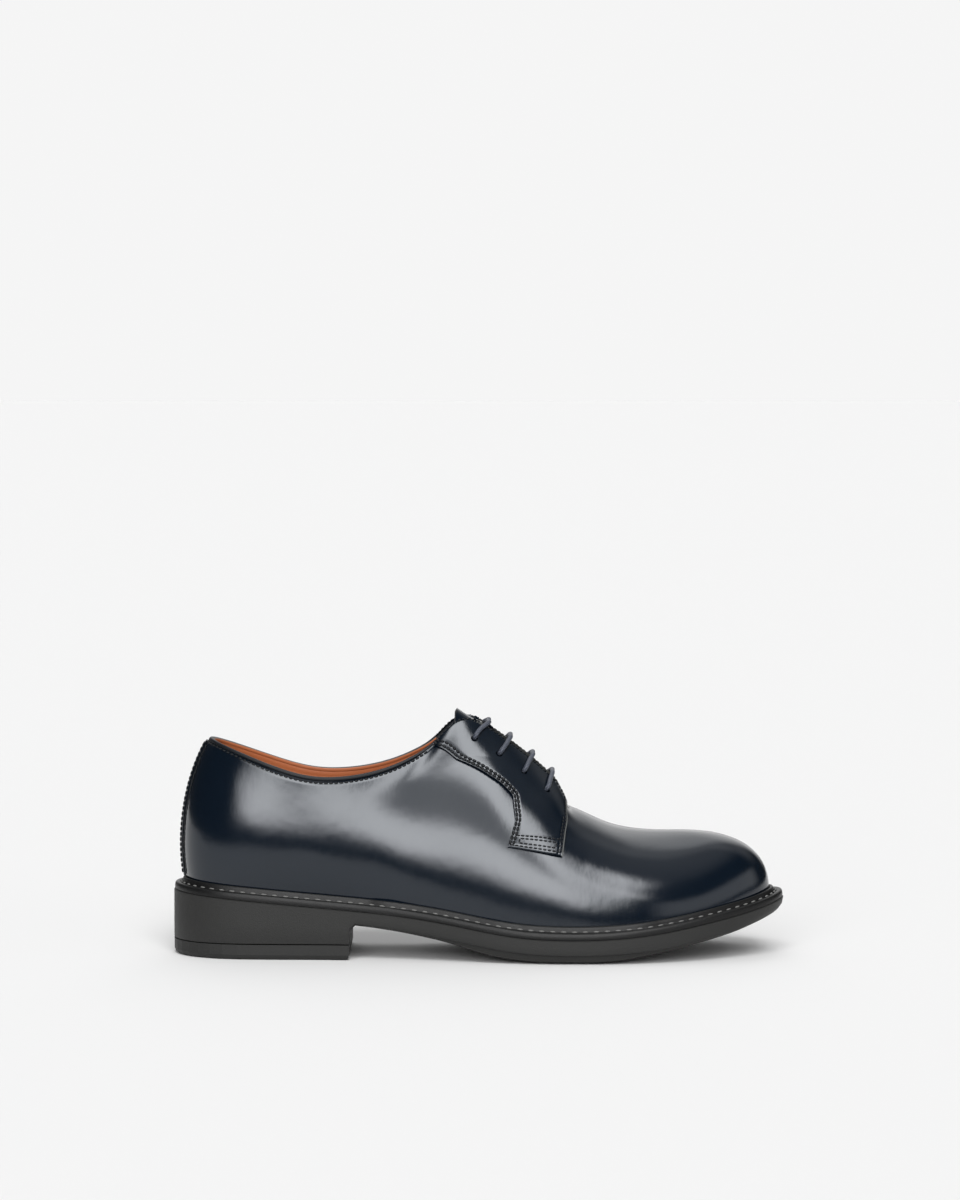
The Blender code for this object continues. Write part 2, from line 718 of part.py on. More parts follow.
def sole_ring(xs, inset):
    """A ring of the outsole at the given stations, squeezed at its ends by the inset."""
    loop = inset_loop(inset)[0]
    half = SOLE_LENGTH / 2
    zone = 0.04
    squeezed = np.interp(xs, (-half, zone - half, half - zone, half),
                         (inset - half, zone - half, half - zone, half - inset))
    low, high = loop[:, 0].min(), loop[:, 0].max()
    squeezed = np.clip(squeezed, low, high)
    outer = np.column_stack([squeezed, width_at(loop, OUTER, squeezed)])
    inner = np.column_stack([squeezed, width_at(loop, INNER, squeezed)])
    outer[0] = inner[0] = loop[np.argmin(loop[:, 0])]
    outer[-1] = inner[-1] = loop[np.argmax(loop[:, 0])]
    return np.vstack([outer[::-1], inner[1:-1]])


def sole_stations(start, end, count, round_start, round_end):
    """Stations between two x, closer together at a rounded end."""
    share = np.linspace(0, 1, count + 1)
    if round_start and round_end:
        share = (1 - np.cos(math.pi * share)) / 2
    elif round_start:
        share = 1 - np.cos(math.pi / 2 * share)
    elif round_end:
        share = np.sin(math.pi / 2 * share)
    return start + (end - start) * share


def breast_x():
    return HEEL_LENGTH - SOLE_LENGTH / 2


def make_outsole(finish):
    """Moulded outsole with its heel block, from the seat line down to the tread and the heel lift."""
    half = SOLE_LENGTH / 2
    breast = breast_x()
    step = 0.0001
    heel = sole_stations(-half, breast, 14, True, False)
    fore = sole_stations(breast + BREAST_CHAMFER, half, SOLE_STATIONS, False, True)
    xs = np.concatenate([heel, [breast + 2 * step], fore])
    in_heel = np.arange(len(xs)) < len(heel)
    chamfer = np.where(np.arange(len(xs)) == len(heel), BREAST_CHAMFER, 0.0)
    floor = LIFT_THICKNESS + CLEARANCE
    edge = np.where(in_heel, floor, edge_height(xs) - chamfer)
    tread = np.where(in_heel, floor, tread_height(xs) - chamfer)

    def heights(ring, values):
        forward = values[::-1]
        return np.concatenate([forward, values[1:-1]])

    outer = sole_ring(xs, 0.0)
    soft = sole_ring(xs, EDGE_BEVEL * 0.3)
    under = sole_ring(xs, EDGE_BEVEL)
    middle = np.where(in_heel, floor, edge * 0.35 + tread * 0.65)
    heel_inset = 0.0006
    heel_soft = sole_ring(xs, heel_inset)
    heel_under = sole_ring(xs, 2 * heel_inset)
    ring_in_heel = heights(outer, in_heel.astype(float)) > 0.5
    soft[ring_in_heel] = heel_soft[ring_in_heel]
    under[ring_in_heel] = heel_under[ring_in_heel]
    middle = np.where(in_heel, floor + step, middle)
    edge = np.where(in_heel, floor + 4 * step, edge)
    rings = [(under, heights(under, tread)), (soft, heights(soft, middle)), (outer, heights(outer, edge)),
             (outer, seat_height(outer[:, 0]))]
    return slab("outsole", rings, finish)


def make_heel_lift(finish):
    """Wearing layer under the heel block, with a flat face on the floor."""
    half = SOLE_LENGTH / 2
    xs = sole_stations(-half, breast_x(), 14, True, False)
    rings = []
    for inset, height in ((LIFT_BEVEL * 1.4, 0.0), (LIFT_BEVEL * 0.45, LIFT_BEVEL * 0.45), (0.0, LIFT_BEVEL * 1.5),
                          (0.0, LIFT_THICKNESS)):
        loop = inset_loop(inset)[0]
        back = np.interp(xs, (-half, 0.04 - half), (inset - half, 0.04 - half))
        back = np.where(xs > 0.04 - half, xs, back)
        back[-1] -= inset * 0.6
        outer = np.column_stack([back, width_at(loop, OUTER, back)])
        inner = np.column_stack([back, width_at(loop, INNER, back)])
        outer[0] = inner[0] = loop[np.argmin(loop[:, 0])]
        ring = np.vstack([outer[::-1], inner[1:]])
        rings.append((ring, np.full(len(ring), height)))
    return open_slab("heel_lift", rings, finish)


def open_slab(name, rings, finish):
    """Like slab, for a ring whose first and last points lie across from each other on a straight front."""
    count = len(rings[0][0])
    points = np.vstack([np.column_stack([ring, height]) for ring, height in rings])
    faces = []
    for level in range(len(rings) - 1):
        low, high = level * count, (level + 1) * count
        for i in range(count):
            after = (i + 1) % count
            faces.append((low + i, low + after, high + after, high + i))
    for start in (0, (len(rings) - 1) * count):
        for i in range(count // 2):
            cap = [start + i, start + i + 1, start + count - 2 - i, start + count - 1 - i]
            if i + 1 == count // 2:
                cap = [start + i, start + i + 1, start + count - 1 - i]
            faces.append(tuple(cap if start else cap[::-1]))
    return add_mesh(name, points, faces, finish)


def rise_at_height(side, station, height):
    """Rise of the wall's point at a height above its foot."""
    rises = np.linspace(0, 0.4, 81)
    points = wall_point(side, np.full(len(rises), station), rises)
    return np.interp(height, points[:, 2] - points[0, 2], rises)


def make_welt(finish):
    """Welt all round, with a bead against the upper and a groove for its stitches."""
    at = stations()
    path = [(OUTER, value) for value in at] + [(INNER, value) for value in at[-2:0:-1]]
    edge_loop, outward_loop = inset_loop(WELT_INSET)
    tall = WELT_THICKNESS + BEAD_HEIGHT
    sections = []
    for side, value in path:
        foot, way = base_at(side, value)
        foot, way = foot[0], way[0]
        base = seat_height(foot[0])[0] + CLEARANCE
        reach = WELT_SHOW + UPPER_WALL * 0.5 - WELT_INSET
        inner = []
        for high in (0.0, tall):
            rise = rise_at_height(side, value, high)
            place = lifted(side, value, rise, CLEARANCE)[0]
            if value in (0.0, 1.0):
                place = (place + lifted(-side, value, rise, CLEARANCE)[0]) / 2
            inner.append(np.array([place[0], place[1], base + high]))
        lip = reach - np.linalg.norm(inner[1][:2] - foot)
        outline = ((reach, 0.0), (reach, WELT_THICKNESS * 0.72), (reach - 0.0008, WELT_THICKNESS),
                   (reach - lip * 0.55, WELT_THICKNESS * 0.78),
                   (reach - lip * 0.70, WELT_THICKNESS), (reach - lip * 0.76, tall - BEAD_HEIGHT * 0.35),
                   (reach - lip * 0.88, tall))
        section = []
        for out, high in outline:
            place = foot + way * out
            section.append((place[0], place[1], seat_height(place[0])[0] + CLEARANCE + high))
        sections.append([*section, *[tuple(place) for place in reversed(inner)]])
    return sweep("welt", np.array(sections), finish, closed=True)


def make_lace_bar(number, row, finish):
    """One straight bar of the lace, from eyelet to eyelet over the facings' edges."""
    eyelet_along, eyelet_height, edge_along = row
    eyelet = find_on_wall(to_x(eyelet_along), eyelet_height * INSTEP_HEIGHT)
    knots = column(TOP, TOP_COLUMNS, "station")
    along = column(TOP, TOP_COLUMNS, "along")
    edge = np.array([np.interp(-edge_along, -along[:10], knots[:10]), 1.0])
    lift = FACING_GAP + FACING_THICKNESS + CLEARANCE + LACE_DIAMETER / 2
    halves = []
    for side in (OUTER, INNER):
        half = []
        for share in np.linspace(0, 1, 6):
            station, rise = eyelet * (1 - share) + edge * share
            half.append(lifted(side, station, rise, lift)[0])
        halves.append(np.array(half))
    middle = (halves[0][-1] + halves[1][-1]) / 2
    points = np.vstack([halves[0], [middle], halves[1][::-1]])
    length = np.concatenate([[0], np.cumsum(np.linalg.norm(np.diff(points, axis=0), axis=1))])
    path = smooth(length, points, np.linspace(0, length[-1], LACE_POINTS))
    curve = bpy.data.curves.new(f"lace_bar_{number}", "CURVE")
    curve.dimensions = "3D"
    curve.bevel_depth = LACE_DIAMETER / 2
    curve.bevel_resolution = 2
    curve.use_fill_caps = True
    spline = curve.splines.new("POLY")
    spline.points.add(len(path) - 1)
    for point, place in zip(spline.points, path):
        point.co = (*place, 1.0)
    curve.materials.append(finish)
    bar = bpy.data.objects.new(f"lace_bar_{number}", curve)
    bpy.context.scene.collection.objects.link(bar)
    return bar


def main():
    for obj in list(bpy.data.objects):
        bpy.data.objects.remove(obj)
    leather = finish_of("polished_navy_leather", (0.012, 0.020, 0.034), 0.18)
    lining = finish_of("tan_lining", (0.42, 0.17, 0.06), 0.5)
    edge = finish_of("dark_edge", (0.012, 0.013, 0.016), 0.4)
    welt = finish_of("welt_rubber", (0.02, 0.021, 0.023), 0.45)
    rubber = finish_of("sole_rubber", (0.055, 0.056, 0.058), 0.6)
    lace = finish_of("waxed_lace", (0.014, 0.02, 0.032), 0.45)
    make_upper(leather)
    make_facing(OUTER, "facing_outer", leather)
    make_facing(INNER, "facing_inner", leather)
    make_back_strip(leather)
    make_binding(edge)
    make_tongue(leather)
    make_insole(lining)
    make_welt(welt)
    make_outsole(rubber)
    make_heel_lift(rubber)
    for number, row in enumerate(BARS, 1):
        make_lace_bar(number, row, lace)


main()
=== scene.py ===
import math

import bpy
import numpy as np
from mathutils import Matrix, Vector
from mathutils.kdtree import KDTree


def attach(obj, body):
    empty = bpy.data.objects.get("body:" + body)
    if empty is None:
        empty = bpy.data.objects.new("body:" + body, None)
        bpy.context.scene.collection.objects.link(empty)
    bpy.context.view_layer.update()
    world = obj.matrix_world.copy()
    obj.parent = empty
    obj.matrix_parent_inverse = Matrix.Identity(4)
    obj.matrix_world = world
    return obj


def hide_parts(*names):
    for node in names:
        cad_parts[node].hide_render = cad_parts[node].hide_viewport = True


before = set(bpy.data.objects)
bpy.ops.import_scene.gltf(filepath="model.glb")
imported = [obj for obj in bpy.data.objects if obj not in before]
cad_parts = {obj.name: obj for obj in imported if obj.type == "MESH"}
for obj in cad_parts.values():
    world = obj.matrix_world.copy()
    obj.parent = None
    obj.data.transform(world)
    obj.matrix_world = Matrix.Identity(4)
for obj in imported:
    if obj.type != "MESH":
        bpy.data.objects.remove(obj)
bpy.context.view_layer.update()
print("frame loaded:", len(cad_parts), "nodes")

# Form of the shoe, as in the part's source. Lengths in metres.
shoe = {
    "soleLength": 0.302,
    "ballWidth": 0.105,
    "seatHeight": 0.0318,
    "instepHeight": 0.1168,
    "heelLength": 0.0876,
    "liftThickness": 0.0074,
    "gap": 0.0003,
    "weltShow": 0.0062,
    "upperWall": 0.0022,
    "soleEdge": 0.0076,
    "edgeDrop": 0.0044,
    "edgeBevel": 0.0075,
    "throat": 0.360,
    "throatBlend": 0.05,
    "centred": 0.5,
    "highestNormal": 0.985,
    "dense": 2000,
}

# Sole from above: along as a share of the length, outer and inner as shares of the ball width
outlineTable = [
    (1.000, -0.033, 0.033), (0.987, 0.118, 0.180), (0.964, 0.207, 0.269), (0.930, 0.289, 0.348),
    (0.881, 0.373, 0.421), (0.821, 0.442, 0.474), (0.752, 0.486, 0.498), (0.672, 0.500, 0.484),
    (0.586, 0.490, 0.418), (0.500, 0.450, 0.335), (0.414, 0.397, 0.282), (0.328, 0.353, 0.277),
    (0.235, 0.328, 0.301), (0.142, 0.318, 0.318), (0.078, 0.288, 0.290), (0.036, 0.223, 0.225),
    (0.009, 0.118, 0.119), (0.000, 0.000, 0.000),
]
# Top of the outsole: along, share of the seat height
seatTable = [
    (0.000, 1.000), (0.120, 0.905), (0.250, 0.795), (0.350, 0.712), (0.450, 0.585), (0.550, 0.425),
    (0.640, 0.372), (0.720, 0.392), (0.800, 0.475), (0.880, 0.610), (0.950, 0.745), (1.000, 0.870),
]
# Side of the outsole: along, thickness as a share of soleEdge, drop as a share of edgeDrop
edgeTable = [
    (0.000, 0.860, 0.15), (0.300, 0.850, 0.20), (0.430, 0.940, 0.45), (0.540, 1.000, 1.00),
    (0.690, 1.000, 1.00), (0.800, 1.000, 0.50), (0.900, 1.000, 0.25), (1.000, 0.930, 0.20),
]
# Crest of the vamp: along, share of the instep height
crestTable = [
    (0.640, 0.624), (0.660, 0.603), (0.684, 0.575), (0.716, 0.540),
    (0.754, 0.519), (0.796, 0.512), (0.846, 0.511), (0.900, 0.500),
]
# Where the wall's columns reach the crest: station, along, shift sideways
ridgeTable = [
    (0.000, 0.8440, 0.036), (0.050, 0.8385, 0.037), (0.100, 0.8220, 0.039), (0.150, 0.7970, 0.041),
    (0.200, 0.7660, 0.040), (0.254, 0.7280, 0.036), (0.310, 0.6860, 0.028), (0.360, 0.6457, 0.018),
]
# Top line past the throat: station, along, half width, height
topTable = [
    (0.360, 0.6457, 0.000, 0.6175), (0.368, 0.6444, 0.034, 0.638), (0.378, 0.6355, 0.060, 0.674),
    (0.390, 0.6230, 0.072, 0.716), (0.407, 0.6022, 0.076, 0.771), (0.434, 0.5705, 0.076, 0.843),
    (0.462, 0.5378, 0.076, 0.908), (0.487, 0.5090, 0.078, 0.959), (0.506, 0.4843, 0.088, 0.990),
    (0.524, 0.4603, 0.110, 0.977), (0.548, 0.4272, 0.143, 0.894), (0.575, 0.3940, 0.176, 0.832),
    (0.610, 0.3543, 0.209, 0.786), (0.660, 0.2947, 0.243, 0.750), (0.710, 0.2351, 0.257, 0.746),
    (0.765, 0.1755, 0.244, 0.782), (0.820, 0.1176, 0.195, 0.838), (0.875, 0.0795, 0.130, 0.877),
    (0.935, 0.0622, 0.064, 0.893), (1.000, 0.0570, 0.000, 0.896),
]
# Shape of each column: station, base lean in degrees, base pull, top drop in degrees, top pull
sectionTable = [
    (0.000, 6.5, 0.174, 0.0, 0.308), (0.080, 6.5, 0.182, 0.0, 0.300), (0.160, 6.0, 0.190, 0.0, 0.270),
    (0.250, 6.0, 0.215, 0.0, 0.300), (0.330, 5.0, 0.240, 0.0, 0.320), (0.362, 4.5, 0.258, 2.0, 0.310),
    (0.395, 4.0, 0.290, 22.0, 0.290), (0.450, 3.0, 0.315, 36.0, 0.290), (0.506, 4.0, 0.320, 50.0, 0.310),
    (0.575, 6.0, 0.250, 66.0, 0.250), (0.660, 8.8, 0.227, 77.1, 0.207), (0.710, 17.4, 0.211, 82.5, 0.208),
    (0.760, 17.6, 0.246, 82.9, 0.255), (0.810, 20.4, 0.215, 76.3, 0.243), (0.860, 15.3, 0.252, 66.9, 0.193),
    (1.000, 13.5, 0.245, 60.0, 0.210),
]
# Facing from its bottom edge to its top, seen from the side: rear along and height, front along and height
facingTable = [
    (0.546, 0.477, 0.634, 0.437), (0.5535, 0.542, 0.6378, 0.520), (0.558, 0.600, 0.6405, 0.584),
    (0.555, 0.670, 0.6385, 0.643), (0.539, 0.722, 0.6215, 0.719), (0.511, 0.772, 0.5740, 0.849),
    (0.465, 0.829, 0.5205, 0.948), (0.424, 0.876, 0.4843, 0.990),
]
# Eyelets seen from the side, and where the lace crosses the facing's edge: along, height, edge along
barTable = [
    (0.4910, 0.908, 0.509), (0.5308, 0.843, 0.545), (0.5705, 0.769, 0.581), (0.6072, 0.692, 0.612),
]
outerSide = -1
innerSide = 1
bothSides = (outerSide, innerSide)


def columnsOf(table):
    return np.array(table, float).T


def unit(rows):
    return rows / np.linalg.norm(rows, axis=-1, keepdims=True)


def lengthAlong(points):
    return np.concatenate([[0], np.cumsum(np.linalg.norm(np.diff(points, axis=0), axis=1))])


def pointsAt(at, length, path):
    # points of a path at distances along it
    return np.array([np.interp(at, length, path[:, k]) for k in range(path.shape[1])]).T


bendStore = {}


def bendOf(knots, rows):
    # second derivatives of a natural cubic spline, kept for the next call
    key = (knots.tobytes(), rows.tobytes())
    if key in bendStore:
        return bendStore[key]
    step = np.diff(knots)
    count = len(knots)
    matrix = np.eye(count)
    right = np.zeros_like(rows)
    for i in range(1, count - 1):
        matrix[i, i - 1:i + 2] = (step[i - 1], 2 * (step[i - 1] + step[i]), step[i])
        right[i] = 6 * ((rows[i + 1] - rows[i]) / step[i] - (rows[i] - rows[i - 1]) / step[i - 1])
    bendStore[key] = np.linalg.solve(matrix, right)
    return bendStore[key]


def natural(knots, values, at):
    # natural cubic spline through values, which may be rows of several numbers
    knots = np.ascontiguousarray(knots, float)
    values = np.ascontiguousarray(values, float)
    flat = values.ndim == 1
    rows = values.reshape(len(knots), -1)
    bend = bendOf(knots, rows)
    step = np.diff(knots)
    at = np.atleast_1d(np.asarray(at, float))
    cell = np.clip(np.searchsorted(knots, at) - 1, 0, len(knots) - 2)
    width = step[cell][:, None]
    left = (knots[cell + 1] - at)[:, None] / width
    gone = 1 - left
    curve = (left * rows[cell] + gone * rows[cell + 1]
             + ((left ** 3 - left) * bend[cell] + (gone ** 3 - gone) * bend[cell + 1]) * width ** 2 / 6)
    return curve[:, 0] if flat else curve


def steady(knots, values, at):
    # cubic curve that never overshoots
    knots = np.asarray(knots, float)
    values = np.asarray(values, float)
    step = np.diff(knots)
    rise = np.diff(values) / step
    slope = np.zeros(len(knots))
    for i in range(1, len(knots) - 1):
        if rise[i - 1] * rise[i] > 0:
            slope[i] = 2 * rise[i - 1] * rise[i] / (rise[i - 1] + rise[i])
    slope[0] = rise[0]
    slope[-1] = rise[-1]
    at = np.atleast_1d(np.asarray(at, float))
    cell = np.clip(np.searchsorted(knots, at) - 1, 0, len(knots) - 2)
    width = step[cell]
    share = (at - knots[cell]) / width
    return ((2 * share ** 3 - 3 * share ** 2 + 1) * values[cell]
            + (share ** 3 - 2 * share ** 2 + share) * width * slope[cell]
            + (3 * share ** 2 - 2 * share ** 3) * values[cell + 1]
            + (share ** 3 - share ** 2) * width * slope[cell + 1])


def toX(along):
    return (np.asarray(along, float) - 0.5) * shoe["soleLength"]


def toAlong(x):
    return np.asarray(x, float) / shoe["soleLength"] + 0.5


def closedOutline():
    along, outer, inner = columnsOf(outlineTable)
    down = np.column_stack([toX(along), -outer * shoe["ballWidth"]])
    back = np.column_stack([toX(along), inner * shoe["ballWidth"]])[::-1]
    loop = np.vstack([down, back[1:]])
    extra = 4
    wrapped = np.vstack([loop[-1 - extra:-1], loop, loop[1:1 + extra]])
    chord = lengthAlong(wrapped)
    start, heel, end = chord[extra], chord[extra + len(down) - 1], chord[-1 - extra]
    count = shoe["dense"] + 1
    at = np.concatenate([np.linspace(start, heel, count), np.linspace(heel, end, count)[1:]])
    return natural(chord, wrapped, at)


outlineLoop = closedOutline()


def insetLoop(distance):
    tangent = unit(np.gradient(np.vstack([outlineLoop[-2], outlineLoop, outlineLoop[1]]), axis=0)[1:-1])
    inward = np.column_stack([tangent[:, 1], -tangent[:, 0]])
    if inward[shoe["dense"] // 2, 1] < 0:
        inward = -inward
    return outlineLoop + inward * np.reshape(distance, (-1, 1)), -inward


def halfLoop(values, side):
    dense = shoe["dense"]
    return values[:dense + 1] if side == outerSide else values[dense:][::-1]


footLoop, footOutward = insetLoop(shoe["weltShow"] + shoe["upperWall"] * 0.5)
footHalves = {side: (halfLoop(footLoop, side), halfLoop(footOutward, side)) for side in bothSides}
footLengths = {side: lengthAlong(footHalves[side][0]) for side in bothSides}


def footAt(side, station):
    points, outward = footHalves[side]
    length = footLengths[side]
    at = np.asarray(station, float) * length[-1]
    return pointsAt(at, length, points), unit(pointsAt(at, length, outward))


def seatHeight(x):
    along, height = columnsOf(seatTable)
    return natural(along, height, toAlong(x)) * shoe["seatHeight"]


def edgeHeight(x):
    along, thickness, _ = columnsOf(edgeTable)
    return seatHeight(x) - steady(along, thickness, toAlong(x)) * shoe["soleEdge"]


def treadHeight(x):
    along, _, drop = columnsOf(edgeTable)
    return np.maximum(edgeHeight(x) - steady(along, drop, toAlong(x)) * shoe["edgeDrop"], 0.0)


def crestHeight(along):
    knots, height = columnsOf(crestTable)
    return natural(knots, height, along) * shoe["instepHeight"]


def ridgeAt(station):
    knots, along, shift = columnsOf(ridgeTable)
    rows = np.column_stack([along, shift])
    found = natural(np.concatenate([-knots[:0:-1], knots]), np.vstack([rows[:0:-1], rows]), station)
    along = found[:, 0]
    step = 0.002
    slope = (crestHeight(along + step) - crestHeight(along - step)) / (2 * step * shoe["soleLength"])
    return np.column_stack([toX(along), found[:, 1] * shoe["ballWidth"], crestHeight(along)]), slope


def topAt(side, station):
    knots, along, half, height = columnsOf(topTable)
    rows = np.column_stack([np.concatenate([along, along[-2::-1]]), np.concatenate([half, -half[-2::-1]]),
                            np.concatenate([height, height[-2::-1]])])
    found = natural(np.concatenate([knots, 2 - knots[-2::-1]]), rows, station)
    shift = np.interp(station, (shoe["throat"], shoe["centred"]), (ridgeTable[-1][2], 0))
    across = (side * found[:, 1] + shift) * shoe["ballWidth"]
    return np.column_stack([toX(found[:, 0]), across, found[:, 2] * shoe["instepHeight"]])


def wallPoint(side, station, rise):
    # outer face of the upper: station runs from the toe to the heel, rise from the sole to the top line
    return plainWall(side, station, rise) + softening(side, station, rise)


def plainWall(side, station, rise):
    station = np.atleast_1d(np.asarray(station, float))
    rise = np.reshape(np.broadcast_to(rise, len(station)), (-1, 1))
    place, way = footAt(side, station)
    foot = np.column_stack([place, seatHeight(place[:, 0]) + shoe["gap"]])
    crest, slope = ridgeAt(np.minimum(station, shoe["throat"]))
    line = topAt(side, np.maximum(station, shoe["throat"]))
    top = np.where((station <= shoe["throat"])[:, None], crest, line)
    knots, *shape = columnsOf(sectionTable)
    lean, pull, drop, reach = natural(knots, np.column_stack(shape), station).T
    lean = np.radians(lean)
    drop = np.radians(np.maximum(drop, 0))
    up = np.column_stack([way * np.sin(lean)[:, None], np.cos(lean)])
    down = np.column_stack([way * np.cos(drop)[:, None], -np.sin(drop)])
    down[:, 2] += slope * way[:, 0] * np.clip(1 - (station - shoe["throat"]) / shoe["throatBlend"], 0, 1)
    low = foot + up * (pull * shoe["ballWidth"])[:, None]
    high = top + down * (reach * shoe["ballWidth"])[:, None]
    left = 1 - rise
    return left ** 3 * foot + 3 * left ** 2 * rise * low + 3 * left * rise ** 2 * high + rise ** 3 * top


# Where corners of the top line are blended into the wall below: station, reach, full strength, share of the
# distance from the edge, and the most in metres. The blend fades out in the lowest part of the wall.
softenTable = [(shoe["throat"], 0.13, 0.06, 0.30, 0.011), (0.560, 0.13, 0.07, 1.00, 0.014)]
softenGrid = (241, 81)
softenFade = 0.1


def stepUp(value, start, end):
    share = np.clip((value - start) / (end - start), 0, 1)
    return share * share * (3 - 2 * share)


def cornerShift(side, middle, reach, full, share, most):
    # what blends one corner into the wall below it, as offsets on a grid
    columns, rows = softenGrid
    at = np.linspace(middle - reach, middle + reach, columns)
    rises = np.linspace(0, 1, rows)
    grid = plainWall(side, np.tile(at, rows), np.repeat(rises, columns)).reshape(rows, columns, 3)
    tall = np.linalg.norm(np.diff(grid[:, columns // 2], axis=0), axis=1).sum()
    keep = stepUp(reach - abs(at - middle), 0, reach - full)
    shift = np.zeros_like(grid)
    for row, rise in enumerate(rises[:-1]):
        width = min(share * (1 - rise) * tall, most)
        run = lengthAlong(grid[row])
        weight = np.exp(-((run[:, None] - run[None]) / width) ** 2 / 2)
        smooth = weight @ grid[row] / weight.sum(1)[:, None]
        shift[row] = (smooth - grid[row]) * keep[:, None] * stepUp(rise, 0, softenFade)
    return at, rises, shift


cornerShifts = {side: [cornerShift(side, *row) for row in softenTable] for side in bothSides}


def softening(side, station, rise):
    station = np.atleast_1d(np.asarray(station, float))
    rise = np.broadcast_to(rise, len(station))
    total = np.zeros((len(station), 3))
    for at, rises, shift in cornerShifts[side]:
        column = np.interp(station, at, np.arange(len(at)))
        row = np.interp(rise, rises, np.arange(len(rises)))
        left = np.minimum(column.astype(int), len(at) - 2)
        low = np.minimum(row.astype(int), len(rises) - 2)
        a, b = (column - left)[:, None], (row - low)[:, None]
        total += ((1 - b) * ((1 - a) * shift[low, left] + a * shift[low, left + 1])
                  + b * ((1 - a) * shift[low + 1, left] + a * shift[low + 1, left + 1]))
    return total


def wallNormal(side, station, rise):
    station = np.atleast_1d(np.asarray(station, float))
    rise = np.minimum(np.broadcast_to(rise, len(station)), shoe["highestNormal"])
    step = 0.002
    throat = shoe["throat"]
    after = np.minimum(station + step, 1.0)
    before = np.maximum(station - step, 0.0)
    same = (before < throat) & (after > throat)
    before = np.where(same & (station > throat), throat + 1e-9, before)
    after = np.where(same & (station <= throat), throat, after)
    back = wallPoint(side, after, rise) - wallPoint(side, before, rise)
    up = wallPoint(side, station, rise + step) - wallPoint(side, station, np.maximum(rise - step, 0))
    return unit(np.cross(back, up) * side)


def lifted(side, station, rise, lift):
    return wallPoint(side, station, rise) + wallNormal(side, station, rise) * np.reshape(lift, (-1, 1))


def findOnWall(x, z):
    # station and rise of the outer side's point seen at x, z from the side
    stations, rises = np.meshgrid(np.linspace(0.2, 0.7, 126), np.linspace(0.2, 1, 81))
    seen = wallPoint(outerSide, stations.ravel(), rises.ravel())
    best = np.argmin((seen[:, 0] - x) ** 2 + (seen[:, 2] - z) ** 2)
    guess = np.array([stations.ravel()[best], rises.ravel()[best]])
    step = 1e-4
    for _ in range(8):
        here = wallPoint(outerSide, guess[0], guess[1])[0][[0, 2]]
        along = wallPoint(outerSide, guess[0] + step, guess[1])[0][[0, 2]] - here
        up = wallPoint(outerSide, guess[0], guess[1] + step)[0][[0, 2]] - here
        move = np.linalg.lstsq(np.column_stack([along, up]) / step, np.array([x, z]) - here, rcond=None)[0]
        guess = guess + np.clip(move, (-0.02, -0.1), (0.02, 0.1))
        guess[1] = min(guess[1], 1.0)
    return guess


def bell(distance, width):
    return np.exp(-(distance / width) ** 2)


# Shader nodes as expressions
class Wire:
    def __init__(self, paint, socket):
        self.paint = paint
        self.socket = socket

    def __add__(self, other):
        return self.paint.math("ADD", self, other)

    def __sub__(self, other):
        return self.paint.math("SUBTRACT", self, other)

    def __rsub__(self, other):
        return self.paint.math("SUBTRACT", other, self)

    def __mul__(self, other):
        return self.paint.math("MULTIPLY", self, other)

    __radd__ = __add__
    __rmul__ = __mul__


class Paint:
    def __init__(self, tree):
        self.tree = tree

    def node(self, kind, settings, values, output=0):
        made = self.tree.nodes.new(kind)
        for name, value in settings.items():
            setattr(made, name, value)
        for name, value in values.items():
            self.feed(made.inputs[name], value)
        return Wire(self, made.outputs[output])

    def feed(self, socket, value):
        if isinstance(value, Wire):
            self.tree.links.new(value.socket, socket)
        else:
            socket.default_value = value

    def math(self, operation, first, second):
        return self.node("ShaderNodeMath", {"operation": operation}, {0: first, 1: second})

    def ease(self, value, start, end):
        # 0 before start, 1 after end, soft between
        return self.node("ShaderNodeMapRange", {"interpolation_type": "SMOOTHSTEP"},
                         {"Value": value, "From Min": start, "From Max": end})

    def mixColour(self, factor, first, second):
        return self.node("ShaderNodeMix", {"data_type": "RGBA"}, {0: factor, 6: (*first, 1), 7: (*second, 1)}, 2)

    def noise(self, place, scale, detail=2.0, roughness=0.5):
        return self.node("ShaderNodeTexNoise", {},
                         {"Vector": place, "Scale": scale, "Detail": detail, "Roughness": roughness})


def newFinish(name, settings):
    material = bpy.data.materials.new(name)
    material.use_nodes = True
    paint = Paint(material.node_tree)
    shader = material.node_tree.nodes["Principled BSDF"]
    for socket, value in settings.items():
        shader.inputs[socket].default_value = value
    place = paint.node("ShaderNodeTexCoord", {}, {}, "Object")
    return material, paint, shader, place


def addBump(paint, shader, height, distance, strength=1.0):
    bump = paint.node("ShaderNodeBump", {}, {"Height": height, "Distance": distance, "Strength": strength})
    paint.feed(shader.inputs["Normal"], bump)


